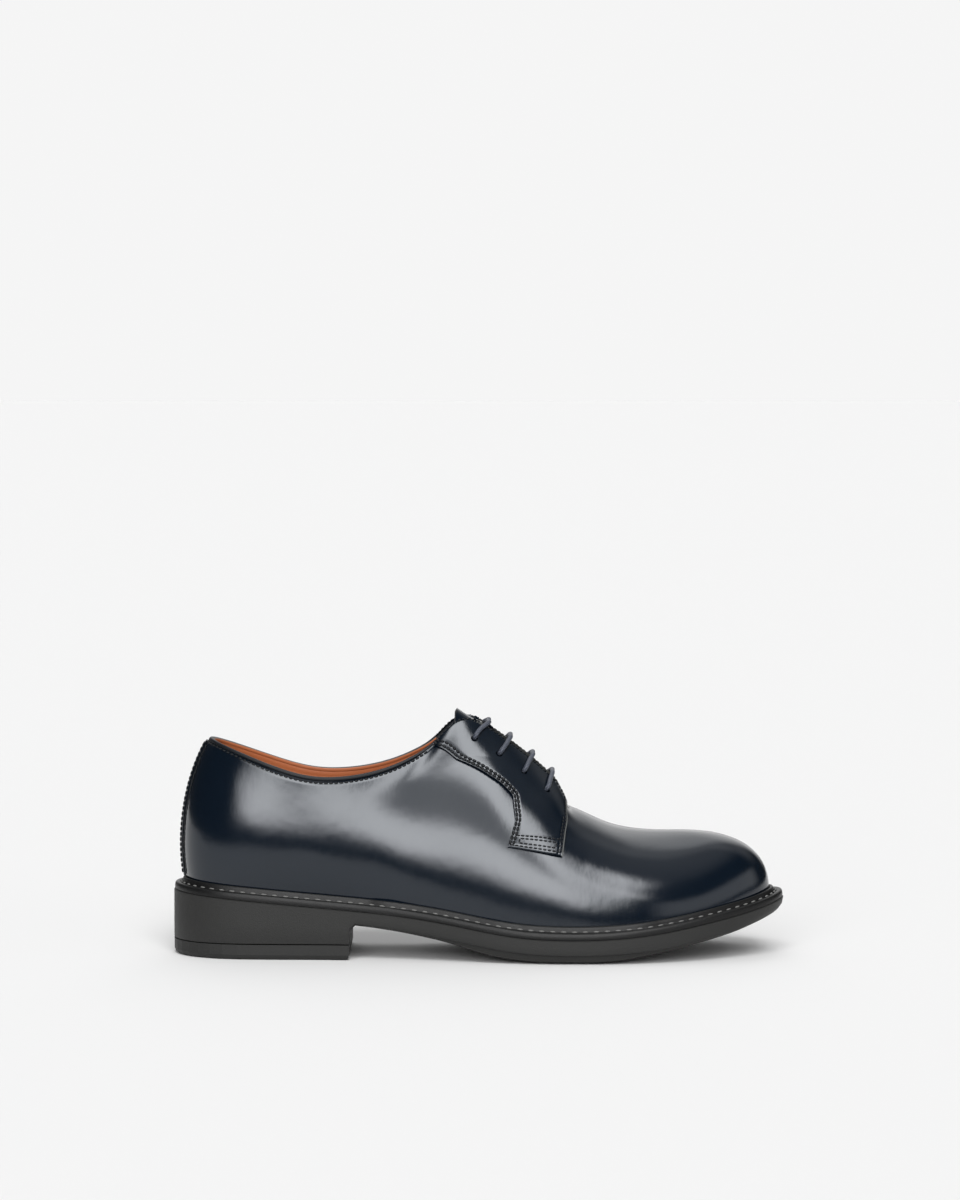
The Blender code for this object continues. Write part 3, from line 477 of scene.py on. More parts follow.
def polishedLeather():
    look = {
        "dark": (0.0016, 0.0042, 0.0085),
        "light": (0.0026, 0.0060, 0.0115),
        "settings": {"IOR": 1.5, "Specular IOR Level": 0.60, "Specular Tint": (0.93, 0.96, 1.0, 1.0)},
        "cloudScale": 38.0,
        "swellScale": 70.0,
        "streakScale": 320.0,
        "streakStretch": (2.2, 2.2, 0.5),
        "grainScale": 2600.0,
        "roughness": 0.11,
        "streakRoughness": 0.06,
        "streakBump": 0.25,
        "grainBump": 0.10,
        "bumpHeight": 0.00009,
    }
    material, paint, shader, place = newFinish("polished_leather", look["settings"])
    cloud = paint.noise(place, look["cloudScale"], 3.0)
    paint.feed(shader.inputs["Base Color"], paint.mixColour(cloud, look["dark"], look["light"]))
    brushed = paint.node("ShaderNodeMapping", {}, {"Vector": place, "Scale": look["streakStretch"]})
    streak = paint.noise(brushed, look["streakScale"], 3.0, 0.65)
    paint.feed(shader.inputs["Roughness"], look["roughness"] + streak * look["streakRoughness"])
    height = (paint.noise(place, look["swellScale"]) + streak * look["streakBump"]
              + paint.noise(place, look["grainScale"]) * look["grainBump"])
    addBump(paint, shader, height, look["bumpHeight"])
    return material


def wovenThread(name, colour, roughness):
    material, paint, shader, place = newFinish(name, {"Roughness": roughness, "Specular IOR Level": 0.3})
    dust = paint.noise(place, 900.0)
    darker = tuple(0.6 * part for part in colour)
    paint.feed(shader.inputs["Base Color"], paint.mixColour(dust, darker, colour))
    addBump(paint, shader, paint.noise(place, 4000.0), 0.0001)
    return material


def softLining(name, colour, deep):
    material, paint, shader, place = newFinish(name, {"Roughness": 0.52, "Specular IOR Level": 0.4})
    cloud = paint.noise(place, 30.0, 4.0)
    pore = paint.node("ShaderNodeTexVoronoi", {}, {"Vector": place, "Scale": 1400.0})
    paint.feed(shader.inputs["Base Color"], paint.mixColour(cloud, deep, colour))
    paint.feed(shader.inputs["Roughness"], 0.46 + cloud * 0.12)
    addBump(paint, shader, pore * 0.6 + paint.noise(place, 300.0) * 0.5, 0.00012)
    return material


def mouldedRubber(name, colour, worn, roughness, grainSize):
    material, paint, shader, place = newFinish(name, {"Specular IOR Level": 0.28})
    cloud = paint.noise(place, 60.0, 4.0)
    grain = paint.noise(place, grainSize, 3.0)
    paint.feed(shader.inputs["Base Color"], paint.mixColour(cloud * 0.6 + grain * 0.4, colour, worn))
    paint.feed(shader.inputs["Roughness"], roughness + cloud * 0.08)
    addBump(paint, shader, grain + cloud * 0.3, 0.0001)
    return material


def ribbedRubber(name, colour, pitch):
    material, paint, shader, place = newFinish(name, {"Roughness": 0.6, "Specular IOR Level": 0.28})
    settings = {"wave_type": "BANDS", "bands_direction": "X", "wave_profile": "SIN"}
    rib = paint.node("ShaderNodeTexWave", settings, {"Vector": place, "Scale": 1 / (pitch * 20)}, "Fac")
    # the grooves between the ribs are painted darker, following the same wave as the bump: painted shade in the
    # grooves
    darker = tuple(0.5 * part for part in colour)
    paint.feed(shader.inputs["Base Color"], paint.mixColour(rib, darker, colour))
    addBump(paint, shader, paint.ease(rib, 0.2, 0.6) + paint.noise(place, 1600.0) * 0.2, 0.0004)
    return material


def roundLace():
    material, paint, shader, _ = newFinish("waxed_lace", {"Roughness": 0.5, "Specular IOR Level": 0.5})
    place = paint.node("ShaderNodeTexCoord", {}, {}, "UV")
    settings = {"wave_type": "BANDS", "bands_direction": "DIAGONAL"}
    strands = []
    for around in (3.0, -3.0):
        turned = paint.node("ShaderNodeMapping", {}, {"Vector": place, "Scale": (26.0, around, 1.0)})
        strands.append(paint.node("ShaderNodeTexWave", settings, {"Vector": turned, "Scale": 1.0}, "Fac"))
    braid = strands[0] * strands[1]
    # the hollows between the braid's strands are painted darker, following the same braid as the bump: painted shade
    # between the strands
    dark, light = (0.0306, 0.0357, 0.0510), (0.1445, 0.1598, 0.2040)
    paint.feed(shader.inputs["Base Color"], paint.mixColour(braid, dark, light))
    addBump(paint, shader, braid, 0.00018)
    return material


leather = polishedLeather()
cutEdge = mouldedRubber("dyed_edge", (0.0040, 0.0050, 0.0072), (0.0075, 0.0088, 0.0115), 0.42, 1800.0)
# painted highlight: a light grey finish on the facings' front edges and the collar's top inner corner, standing in
# for the light these edges catch
edgeHighlightPaint = mouldedRubber("painted_edge_highlight", (0.070, 0.074, 0.074), (0.120, 0.122, 0.118), 0.5, 1800.0)
lining = softLining("tan_lining", (0.47, 0.150, 0.056), (0.34, 0.098, 0.035))
sock = softLining("sock_lining", (0.50, 0.170, 0.066), (0.38, 0.115, 0.042))
weltRubber = mouldedRubber("welt_rubber", (0.0030, 0.0031, 0.0032), (0.0062, 0.0063, 0.0064), 0.38, 1200.0)
soleRubber = mouldedRubber("sole_rubber", (0.0160, 0.0161, 0.0157), (0.0215, 0.0216, 0.0210), 0.50, 1600.0)
treadRubber = ribbedRubber("tread_rubber", (0.0120, 0.0121, 0.0118), 0.0032)
lace = roundLace()
darkThread = wovenThread("dark_thread", (0.0030, 0.0040, 0.0062), 0.45)
weltThread = wovenThread("welt_thread", (0.20, 0.20, 0.195), 0.6)
tanThread = wovenThread("tan_thread", (0.20, 0.065, 0.026), 0.6)
print("finishes ready")


# Making meshes
def onlySelect(obj):
    bpy.ops.object.select_all(action="DESELECT")
    obj.select_set(True)
    bpy.context.view_layer.objects.active = obj


def inEditMode(obj, work):
    onlySelect(obj)
    bpy.ops.object.mode_set(mode="EDIT")
    bpy.ops.mesh.select_all(action="SELECT")
    work()
    bpy.ops.object.mode_set(mode="OBJECT")


def skin(name, points, finishes):
    # a grid with its vertices set to an array of rows and columns
    rows, columns = points.shape[:2]
    bpy.ops.object.select_all(action="DESELECT")
    bpy.ops.mesh.primitive_grid_add(x_subdivisions=columns - 1, y_subdivisions=rows - 1, size=1.0)
    obj = bpy.context.object
    obj.name = name
    obj.data.name = name
    obj.data.vertices.foreach_set("co", points.reshape(-1).astype(np.float32))
    obj.data.update()
    for finish in finishes:
        obj.data.materials.append(finish)
    return obj


def mergeDoubles(obj, distance=2e-5):
    inEditMode(obj, lambda: bpy.ops.mesh.remove_doubles(threshold=distance))


def turnOutwards(obj):
    inEditMode(obj, lambda: bpy.ops.mesh.normals_make_consistent(inside=False))


def closeHoles(obj):
    def work():
        bpy.ops.mesh.select_all(action="DESELECT")
        bpy.ops.mesh.select_mode(type="EDGE")
        bpy.ops.mesh.select_non_manifold()
        bpy.ops.mesh.fill()
    inEditMode(obj, work)


def applyModifier(obj, kind, **settings):
    onlySelect(obj)
    modifier = obj.modifiers.new(kind.lower(), kind)
    for name, value in settings.items():
        setattr(modifier, name, value)
    bpy.ops.object.modifier_apply(modifier=modifier.name)


def thicken(obj, thickness, **settings):
    applyModifier(obj, "SOLIDIFY", thickness=thickness, offset=-1.0, **settings)


def smoothShade(obj, angle):
    onlySelect(obj)
    bpy.ops.object.shade_smooth_by_angle(angle=math.radians(angle))


def finishPiece(obj, slot, *nodes):
    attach(obj, "root")
    if nodes:
        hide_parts(*nodes)


def flip(obj):
    inEditMode(obj, lambda: bpy.ops.mesh.flip_normals())


def outwardSkin(obj, middle=(0.0, 0.0, 0.04)):
    # turns a skin round where its normals point at the middle of the shoe
    centre, normal, area = (np.array([getattr(face, name) for face in obj.data.polygons])
                            for name in ("center", "normal", "area"))
    if (((centre - middle) * normal).sum(1) * area).sum() < 0:
        flip(obj)


# Upper
upperBuild = {
    "runs": ((0.0, 0.30, 46), (0.30, 0.36, 16), (0.36, 0.41, 28), (0.41, 0.55, 44), (0.55, 1.0, 84)),
    "lowRows": 30,
    "highRows": 14,
    "highStart": 0.90,
    "seamDrop": 0.0009,
    "seamDepth": 0.00015,
    "seamWidth": 0.0006,
    "seamStart": (0.53, 0.55),
    "creaseRidge": 0.6,
}
# Soft creases over the ball: along and height of the middle, length, width and depth in metres, tilt in degrees
creaseTable = [
    (0.672, 0.0500, 0.010, 0.0024, 0.00004, 62),
    (0.700, 0.0460, 0.012, 0.0028, 0.00003, 55),
    (0.752, 0.0380, 0.009, 0.0024, 0.00004, 66),
]


def columnLength(side, station):
    steps = 25
    rises = np.linspace(0, 1, steps)
    points = wallPoint(side, np.repeat(station, steps), np.tile(rises, len(station))).reshape(-1, steps, 3)
    return np.linalg.norm(np.diff(points, axis=1), axis=2).sum(1)


def creaseLift(place):
    # a trough with a lower ridge beside it
    lift = np.zeros(len(place))
    ridge = upperBuild["creaseRidge"]
    for along, height, length, width, depth, tilt in creaseTable:
        turn = math.radians(tilt)
        dx = place[:, 0] - toX(along)
        dz = place[:, 2] - height
        lengthways = dx * math.cos(turn) + dz * math.sin(turn)
        across = -dx * math.sin(turn) + dz * math.cos(turn)
        lift += (ridge * bell(across - width, width) - bell(across, width)) * depth * bell(lengthways, length / 2)
    return lift


def makeUpper():
    build = upperBuild
    at = np.concatenate([[0.0], *[np.linspace(start, end, count + 1)[1:] for start, end, count in build["runs"]]])
    rises = np.concatenate([np.linspace(0, build["highStart"], build["lowRows"] + 1),
                            np.linspace(build["highStart"], 1, build["highRows"] + 1)[1:]])
    halves = {}
    for side in bothSides:
        station = np.tile(at, len(rises))
        rise = np.repeat(rises, len(at))
        plain = wallPoint(side, station, rise)
        fromTop = (1 - rise) * np.tile(columnLength(side, at), len(rises))
        collar = np.interp(station, build["seamStart"], (0, 1))
        lift = creaseLift(plain)
        lift -= build["seamDepth"] * bell(fromTop - build["seamDrop"], build["seamWidth"]) * collar
        halves[side] = (plain + wallNormal(side, station, rise) * lift[:, None]).reshape(len(rises), len(at), 3)
    closed = at <= shoe["throat"] + 1e-9
    crest = (halves[outerSide][-1, closed] + halves[innerSide][-1, closed]) / 2
    for side in halves:
        halves[side][-1, closed] = crest
    for end in (0, -1):
        seam = (halves[outerSide][:, end] + halves[innerSide][:, end]) / 2
        for side in halves:
            halves[side][:, end] = seam
    ring = np.concatenate([halves[outerSide], halves[innerSide][:, -2::-1]], axis=1)
    upper = skin("upper_leather", ring, [leather, lining, cutEdge])
    mergeDoubles(upper)
    turnOutwards(upper)
    outwardSkin(upper)
    thicken(upper, shoe["upperWall"], use_even_offset=True, material_offset=1, material_offset_rim=2)
    smoothShade(upper, 50)
    finishPiece(upper, "polished_leather", "upper")


makeUpper()
print("upper made")


# How thick a panel is made, as a share of how high it stands, so that its underside clears the wall
shellShare = 0.8

# Facings
facingBuild = {
    "gap": 0.0006,
    "thickness": 0.0014,
    "limit": 0.993,
    "rows": 190,
    "columns": 72,
    "rearRows": (0.0007, 0.0021),
    "frontRows": (0.0013, 0.0026),
    "boxTop": 0.0072,
    "boxBottom": 0.0014,
    "boxInset": 0.0016,
    "boxSide": 0.0042,
    "secondReach": 0.012,
    "rearEnd": 0.0004,
    "crowding": 0.06,
    "grooveDepth": 0.00012,
    "grooveWidth": 0.00055,
    "edgeRoll": 0.00035,
    "rollWidth": 0.0005,
    "holeRadius": 0.0017,
    "highlightColumns": 3,
    "stitch": {"pitch": 0.0024, "length": 0.0023, "radius": 0.00070},
    "fineStitch": {"pitch": 0.0022, "length": 0.0019, "radius": 0.00042},
}


def facingEdges():
    found = []
    for rearAlong, rearHeight, frontAlong, frontHeight in facingTable:
        rear = findOnWall(toX(rearAlong), rearHeight * shoe["instepHeight"])
        front = findOnWall(toX(frontAlong), frontHeight * shoe["instepHeight"])
        found.append((*rear, *front))
    found = np.array(found)
    found[-1, 1] = 1.0  # the top corner and the front edge beside the eyelets end on the top line
    found[-4:, 3] = 1.0
    return found


facingRows = facingEdges()


def facingSpot(across, level):
    # station and rise of a place on the facing: across from rear to front, level from bottom to top
    knots = np.linspace(0, 1, len(facingRows))
    rearStation, rearRise, frontStation, frontRise = (steady(knots, facingRows[:, k], level) for k in range(4))
    station = rearStation * (1 - across) + frontStation * across
    rise = rearRise * (1 - across) + frontRise * across
    return station, np.minimum(rise, facingBuild["limit"])


class FacingMap:
    # distances in metres on one facing's surface
    def __init__(self, side):
        self.levels = np.linspace(0, 1, 241)
        rear, middle, front = (wallPoint(side, *facingSpot(share, self.levels)) for share in (0.0, 0.5, 1.0))
        self.width = np.linalg.norm(front - rear, axis=1)
        self.run = lengthAlong(middle)

    def widthAbove(self, fromBottom):
        return np.interp(np.interp(fromBottom, self.run, self.levels), self.levels, self.width)

    def shares(self, fromRear, fromBottom):
        return fromRear / self.widthAbove(fromBottom), np.interp(fromBottom, self.run, self.levels)

    def distances(self, across, level):
        width = np.interp(level, self.levels, self.width)
        up = np.interp(level, self.levels, self.run)
        return across * width, (1 - across) * width, up, self.run[-1] - up


facingMaps = {side: FacingMap(side) for side in bothSides}


def facingRelief(rear, front, bottom, top):
    # grooves under the stitches and rolled edges
    build = facingBuild
    depth, width = build["grooveDepth"], build["grooveWidth"]
    lift = np.zeros(len(rear))
    for row in build["rearRows"]:
        lift -= depth * bell(rear - row, width)
    lift -= depth * bell(front - build["frontRows"][0], width)
    low = bottom < build["boxTop"] + build["secondReach"]
    lift -= np.where(low, depth * bell(front - build["frontRows"][1], width), 0)
    lift -= depth * bell(top - build["frontRows"][0], width)
    lift -= depth * bell(bottom - build["boxTop"], width)
    lift -= depth * bell(bottom - build["boxBottom"], width)
    near = np.minimum(np.minimum(rear, front), np.minimum(bottom, top))
    return lift - build["edgeRoll"] * np.exp(-near / build["rollWidth"])


def onFacing(side, across, level):
    # points of the facing's outer face and the directions away from it
    build = facingBuild
    station, rise = facingSpot(across, level)
    relief = facingRelief(*facingMaps[side].distances(across, level))
    normals = wallNormal(side, station, rise)
    return wallPoint(side, station, rise) + normals * (build["gap"] + build["thickness"] + relief)[:, None], normals


def makeFacing(side, name, node):
    build = facingBuild
    shares = np.linspace(0, 1, build["columns"])
    shares -= build["crowding"] * np.sin(2 * math.pi * shares) / (2 * math.pi)
    level, across = np.meshgrid(np.linspace(0, 1, build["rows"]), shares, indexing="ij")
    points = onFacing(side, across.ravel(), level.ravel())[0]
    facing = skin(name, points.reshape(build["rows"], build["columns"], 3), [leather, cutEdge, edgeHighlightPaint])
    # the last columns beside the front edge take the painted edge highlight, a light grey strip standing in for the
    # light caught by the rolled edge
    for face in facing.data.polygons:
        if min(face.vertices) % build["columns"] >= build["columns"] - build["highlightColumns"]:
            face.material_index = 2
    outwardSkin(facing)
    thicken(facing, build["thickness"] * shellShare, material_offset_rim=1)
    for along, height, _ in barTable:
        spot = findOnWall(toX(along), height * shoe["instepHeight"])
        place = lifted(side, *spot, build["gap"] + build["thickness"])[0]
        drill(facing, place, wallNormal(side, *spot)[0], build["holeRadius"])
    smoothShade(facing, 45)
    finishPiece(facing, "polished_leather", node)


def drill(obj, place, way, radius):
    bpy.ops.object.select_all(action="DESELECT")
    bpy.ops.mesh.primitive_cylinder_add(vertices=32, radius=radius, depth=0.006, location=place)
    cutter = bpy.context.object
    cutter.rotation_mode = "QUATERNION"
    cutter.rotation_quaternion = Vector(way).to_track_quat("Z", "Y")
    bpy.context.view_layer.update()
    applyModifier(obj, "BOOLEAN", operation="DIFFERENCE", object=cutter, solver="EXACT")
    bpy.data.objects.remove(cutter)


makeFacing(outerSide, "facing_leather_outer", "facing_outer")
makeFacing(innerSide, "facing_leather_inner", "facing_inner")
print("facings made")


# Stitches
def stitchShape():
    bpy.ops.object.select_all(action="DESELECT")
    bpy.ops.mesh.primitive_uv_sphere_add(segments=8, ring_count=6, radius=1.0)
    obj = bpy.context.object
    points = np.array([vertex.co for vertex in obj.data.vertices])
    corners = [tuple(face.vertices) for face in obj.data.polygons]
    bpy.data.objects.remove(obj)
    return points, corners


stitchPoints, stitchCorners = stitchShape()


def sewRow(name, rows, stitch, finish, slot):
    # rows of path points and normals, one stitch every pitch, all joined
    points, corners = [], []
    for path, normals in rows:
        length = lengthAlong(path)
        count = max(1, int(round(length[-1] / stitch["pitch"])))
        step = stitch["length"] / 2
        radius = stitch["radius"]
        for spot in (np.arange(count) + 0.5) * length[-1] / count:
            middle, start, end = (pointsAt(place, length, path) for place in (spot, spot - step, spot + step))
            way = unit(end - start)
            up = pointsAt(spot, length, normals)
            up = unit(up - way * np.dot(up, way))
            beside = np.cross(up, way)
            centre = ((start + end) / 2 + middle) / 2 + up * radius * 0.5
            shape = (centre + stitchPoints[:, :1] * way * step + stitchPoints[:, 1:2] * beside * radius
                     + stitchPoints[:, 2:] * up * radius * 0.8)
            first = len(points) * len(stitchPoints)
            points.append(shape)
            corners.extend(tuple(first + corner for corner in face) for face in stitchCorners)
    mesh = bpy.data.meshes.new(name)
    mesh.from_pydata(np.concatenate(points).tolist(), [], corners)
    obj = bpy.data.objects.new(name, mesh)
    bpy.context.scene.collection.objects.link(obj)
    mesh.materials.append(finish)
    turnOutwards(obj)
    smoothShade(obj, 80)
    finishPiece(obj, slot)


def facingStitches(side):
    # the bold rows of the rear seam, and the fine rows: front edge, bottom, box and top
    build = facingBuild
    chart = facingMaps[side]

    def line(heights, fromRear, fromFront, cross):
        # cross is 0 at a distance from the rear edge and 1 at a distance from the front edge
        across = fromRear + cross * (chart.widthAbove(heights) - fromFront - fromRear)
        return onFacing(side, *chart.shares(across, heights))

    top = chart.run[-1]
    rear, secondRear = build["rearRows"]
    front, secondFront = build["frontRows"]
    low, high, boxSide = build["boxBottom"], build["boxTop"], build["boxSide"]
    boxLow, boxHigh = low + build["boxInset"], high - build["boxInset"]
    bold = [line(np.linspace(low, top - build["rearEnd"], 240), inset, 0, 0) for inset in build["rearRows"]]
    fine = [line(np.linspace(low, reach, 240), 0, inset, 1)
            for inset, reach in ((front, top - front), (secondFront, high + build["secondReach"]))]
    for height, start, end in ((low, rear, front), (high, secondRear, secondFront), (boxLow, boxSide, boxSide),
                               (boxHigh, boxSide, boxSide), (top - front, rear, front)):
        fine.append(line(np.full(60, height), start, end, np.linspace(0, 1, 60)))
    upright = np.linspace(boxLow, boxHigh, 12)
    return bold, fine + [line(upright, boxSide, 0, 0), line(upright, 0, boxSide, 1)]


for side, word in ((outerSide, "outer"), (innerSide, "inner")):
    bold, fine = facingStitches(side)
    sewRow("facing_seam_" + word, bold, facingBuild["stitch"], darkThread, "waxed_lace")
    sewRow("facing_stitches_" + word, fine, facingBuild["fineStitch"], darkThread, "waxed_lace")
print("facing stitches sewn")


# Collar: rolled edge, its stitches and the line inside
collarBuild = {
    "start": 0.548,
    "height": 0.0021,
    "wrap": 0.0003,
    "rimGap": 0.00015,
    "squareness": 3.2,
    "below": 0.97,
    "steps": 200,
    "around": 28,
    "linedFaces": (10, 19),
    "highlightFaces": (8, 10),
    "stitch": {"pitch": 0.0025, "length": 0.0021, "radius": 0.00050},
    "innerStitch": {"pitch": 0.0024, "length": 0.0018, "radius": 0.00030},
    "innerDrop": 0.0036,
    "outerRow": (0.556, 240),
    "innerRow": (0.53, 240),
}


def collarPath(start, steps):
    at = np.linspace(start, 1.0, steps)
    return [(outerSide, at), (innerSide, at[-2::-1])]


def collarFrame(start, steps):
    # points of the wall's top with outward and upward directions, from the outer side round the heel
    edges, outs, ups = [], [], []
    for side, at in collarPath(start, steps):
        edge = wallPoint(side, at, 1.0)
        out = wallNormal(side, at, 1.0)
        heel = at > 1 - 1e-9
        out[heel] = (out[heel] + wallNormal(-side, at[heel], 1.0)) / 2
        out = unit(out)
        up = edge - wallPoint(side, at, collarBuild["below"])
        edges.append(edge)
        outs.append(out)
        ups.append(unit(up - out * (up * out).sum(1)[:, None]))
    return np.concatenate(edges), np.concatenate(outs), np.concatenate(ups)


def makeBinding():
    build = collarBuild
    edge, out, up = collarFrame(build["start"], build["steps"])
    half = (shoe["upperWall"] + 2 * build["wrap"]) / 2
    middle = -shoe["upperWall"] / 2
    turn = np.linspace(0, 2 * math.pi, build["around"] + 1)
    waves = np.array([np.cos(turn), np.sin(turn)])
    outShare, upShare = np.sign(waves) * abs(waves) ** (2 / build["squareness"])
    rows = [edge + out * (middle + half * a) + up * (build["rimGap"] + build["height"] * (0.5 + 0.5 * b))
            for a, b in zip(outShare, upShare)]
    binding = skin("collar_edge", np.array(rows), [cutEdge, edgeHighlightPaint, lining])
    # faces on the binding's top inner corner take the painted edge highlight, a light grey strip standing in for the
    # light caught by the collar's edge; the inner side takes the lining
    for face in binding.data.polygons:
        place = min(face.vertices) // len(edge)
        if build["highlightFaces"][0] <= place < build["highlightFaces"][1]:
            face.material_index = 1
        elif build["linedFaces"][0] <= place < build["linedFaces"][1]:
            face.material_index = 2
    mergeDoubles(binding)
    closeHoles(binding)
    turnOutwards(binding)
    smoothShade(binding, 60)
    finishPiece(binding, "dark_edge", "collar_binding")


def wallRow(start, steps, drop, lift):
    # a row at a distance below the top line, round the collar, at a height off the wall's outer face
    paths, normals = [], []
    for side, at in collarPath(start, steps):
        rise = 1 - drop / columnLength(side, at)
        normal = wallNormal(side, at, rise)
        paths.append(wallPoint(side, at, rise) + normal * lift)
        normals.append(normal)
    return np.concatenate(paths), np.concatenate(normals)


makeBinding()
outside = wallRow(*collarBuild["outerRow"], upperBuild["seamDrop"], -upperBuild["seamDepth"])
inside = wallRow(*collarBuild["innerRow"], collarBuild["innerDrop"], -shoe["upperWall"])
sewRow("collar_stitches", [outside], collarBuild["stitch"], darkThread, "waxed_lace")
sewRow("lining_stitches", [(inside[0], -inside[1])], collarBuild["innerStitch"], tanThread, "tan_lining")
print("collar made")


# Strip up the back of the heel
stripBuild = {
    "width": 0.007,
    "start": 0.0064,
    "end": 0.995,
    "thickness": 0.001,
    "roll": 0.0004,
    "rollPower": 6,
    "rows": 60,
    "columns": 17,
    "stitchInset": 0.0013,
    "stitch": {"pitch": 0.0026, "length": 0.0023, "radius": 0.00050},
}


def stripPoint(share, rises, lift):
    # share runs from -1 on the outer side to 1 on the inner
    side = outerSide if share <= 0 else innerSide
    step = 0.01
    near = wallPoint(side, np.full(len(rises), 1 - step), rises)
    pace = np.linalg.norm(wallPoint(side, np.ones(len(rises)), rises) - near, axis=1) / step
    station = 1 - abs(share) * stripBuild["width"] / 2 / pace
    normal = wallNormal(side, station, rises)
    if share == 0:
        normal = unit(normal + wallNormal(-side, station, rises))
    return wallPoint(side, station, rises) + normal * lift, normal


def makeStrip():
    build = stripBuild
    reach = np.linalg.norm(wallPoint(outerSide, 1.0, 1.0) - wallPoint(outerSide, 1.0, 0.0))
    rises = np.linspace(build["start"] / reach, build["end"], build["rows"])
    high = shoe["gap"] + build["thickness"]
    points = np.array([stripPoint(share, rises, high - build["roll"] * abs(share) ** build["rollPower"])[0]
                       for share in np.linspace(-1, 1, build["columns"])])
    strip = skin("heel_strip", points.transpose(1, 0, 2), [leather, cutEdge])
    outwardSkin(strip)
    thicken(strip, build["thickness"] * shellShare, material_offset_rim=1)
    smoothShade(strip, 50)
    finishPiece(strip, "polished_leather", "back_strip")
    inset = 1 - build["stitchInset"] / (build["width"] / 2)
    rows = [stripPoint(share, rises[1:-1], high) for share in (-inset, inset)]
    sewRow("strip_stitches", rows, build["stitch"], darkThread, "waxed_lace")


makeStrip()
print("heel strip made")


# Tongue
tongueBuild = {
    "width": 0.052,
    "peak": 0.0088,
    "dip": 0.003,
    "gap": 0.0009,
    "thickness": 0.0018,
    "columns": 41,
    "start": 0.325,
    "end": 0.502,
    "lowest": 0.62,
    "rises": 30,
    "widening": ((0.325, 0.42, 0.502), (0.62, 0.9, 1.0)),
    "tipTaper": 0.6,
    "tipSlope": 10,
}


def tongueGrid(lift):
    build = tongueBuild
    throat = shoe["throat"]
    along = np.concatenate([np.linspace(build["start"], throat, 9), np.linspace(throat, build["end"], 49)[1:]])
    rises = np.linspace(build["lowest"], 1, build["rises"])
    across = np.linspace(-1, 1, build["columns"])
    rows = []
    for station in along:
        halves = [lifted(side, np.full(len(rises), station), rises, lift) for side in bothSides]
        left, right = halves[0][-1], halves[1][-1]
        start, end = unit(left - halves[0][-2]), unit(halves[1][-2] - right)
        pull = np.linalg.norm(right - left) / 3
        share = np.linspace(0, 1, 14)[1:-1, None]
        rest = 1 - share
        bridge = (rest ** 3 * left + 3 * rest ** 2 * share * (left + start * pull)
                  + 3 * rest * share ** 2 * (right - end * pull) + share ** 3 * right)
        if station <= throat:
            arch = np.vstack([halves[0][:-1], [(left + right) / 2], halves[1][-2::-1]])
        else:
            arch = np.vstack([halves[0], bridge, halves[1][::-1]])
        length = lengthAlong(arch)
        width = build["width"] * np.interp(station, *build["widening"])
        rows.append(pointsAt(length[-1] / 2 + across * width / 2, length, arch))
    rows = np.array(rows)
    way = unit(rows[-1] - rows[-build["tipSlope"]])
    reach = build["peak"] * (1 - build["tipTaper"] * abs(across) ** 3)[:, None]
    dip = np.outer(build["dip"] * across ** 2, (0, 0, 1))
    tip = [rows[-1] + way * reach * share - dip * share for share in np.linspace(0, 1, 8)[1:]]
    return np.concatenate([rows, np.array(tip)])


def makeTongue():
    tongue = skin("tongue_leather", tongueGrid(-shoe["upperWall"] - tongueBuild["gap"]), [leather, lining, cutEdge])
    outwardSkin(tongue)
    thicken(tongue, tongueBuild["thickness"], material_offset=1, material_offset_rim=2)
    smoothShade(tongue, 45)
    finishPiece(tongue, "polished_leather", "tongue")


makeTongue()
print("tongue made")


# Laces through the eyelets
laceBuild = {
    "diameter": 0.0023,
    "around": 14,
    "steps": 120,
    "dive": 0.0012,
    "climb": (0.0002, 0.0010),
    "topRows": 10,
    "shares": (0.09, 0.10, 0.14, 0.23, 0.34, 0.5, 0.7, 0.85, 1.0),
}


def tube(name, path, radius, around, finish):
    tangent = unit(np.gradient(path, axis=0))
    side = unit(np.cross(tangent, [1.0, 0.0, 0.3]))  # along the shoe, which no lace is
    up = np.cross(side, tangent)
    turn = np.linspace(0, 2 * math.pi, around + 1)
    rows = [path + radius * (side * math.cos(a) + up * math.sin(a)) for a in turn]
    obj = skin(name, np.array(rows), [finish])
    mergeDoubles(obj)
    closeHoles(obj)
    turnOutwards(obj)
    smoothShade(obj, 60)
    return obj


def makeLaceBar(number, along, height, edgeAlong):
    build = laceBuild
    eyelet = findOnWall(toX(along), height * shoe["instepHeight"])
    knots, topAlong, _, _ = columnsOf(topTable)
    rows = build["topRows"]
    edge = np.array([np.interp(-edgeAlong, -topAlong[:rows], knots[:rows]), 1.0])
    face = facingBuild["gap"] + facingBuild["thickness"]
    ride = face + shoe["gap"] + build["diameter"] / 2
    shares = np.array(build["shares"])[:, None]
    stations, rises = (eyelet * (1 - shares) + edge * shares).T
    lifts = [face - build["dive"], *[face + rise for rise in build["climb"]]]
    lifts += [ride] * (len(shares) - len(lifts))
    halves = [lifted(side, stations, rises, lifts) for side in bothSides]
    middle = (halves[0][-1] + halves[1][-1]) / 2
    points = np.vstack([halves[0], [middle], halves[1][::-1]])
    length = lengthAlong(points)
    path = natural(length, points, np.linspace(0, length[-1], build["steps"]))
    bar = tube(f"lace_{number}", path, build["diameter"] / 2, build["around"], lace)
    finishPiece(bar, "waxed_lace", f"lace_bar_{number}")


for number, (along, height, edgeAlong) in enumerate(barTable, 1):
    makeLaceBar(number, along, height, edgeAlong)
print("laces threaded")


# Insole sock
sockBuild = {
    "thickness": 0.0035,
    "margin": 0.0012,
    "across": 40,
    "stations": 110,
    "dish": 0.0012,
    "raised": 0.0013,
}


def widthAt(loop, side, x):
    half = halfLoop(loop, side)[::-1]
    return np.interp(x, half[:, 0], half[:, 1])


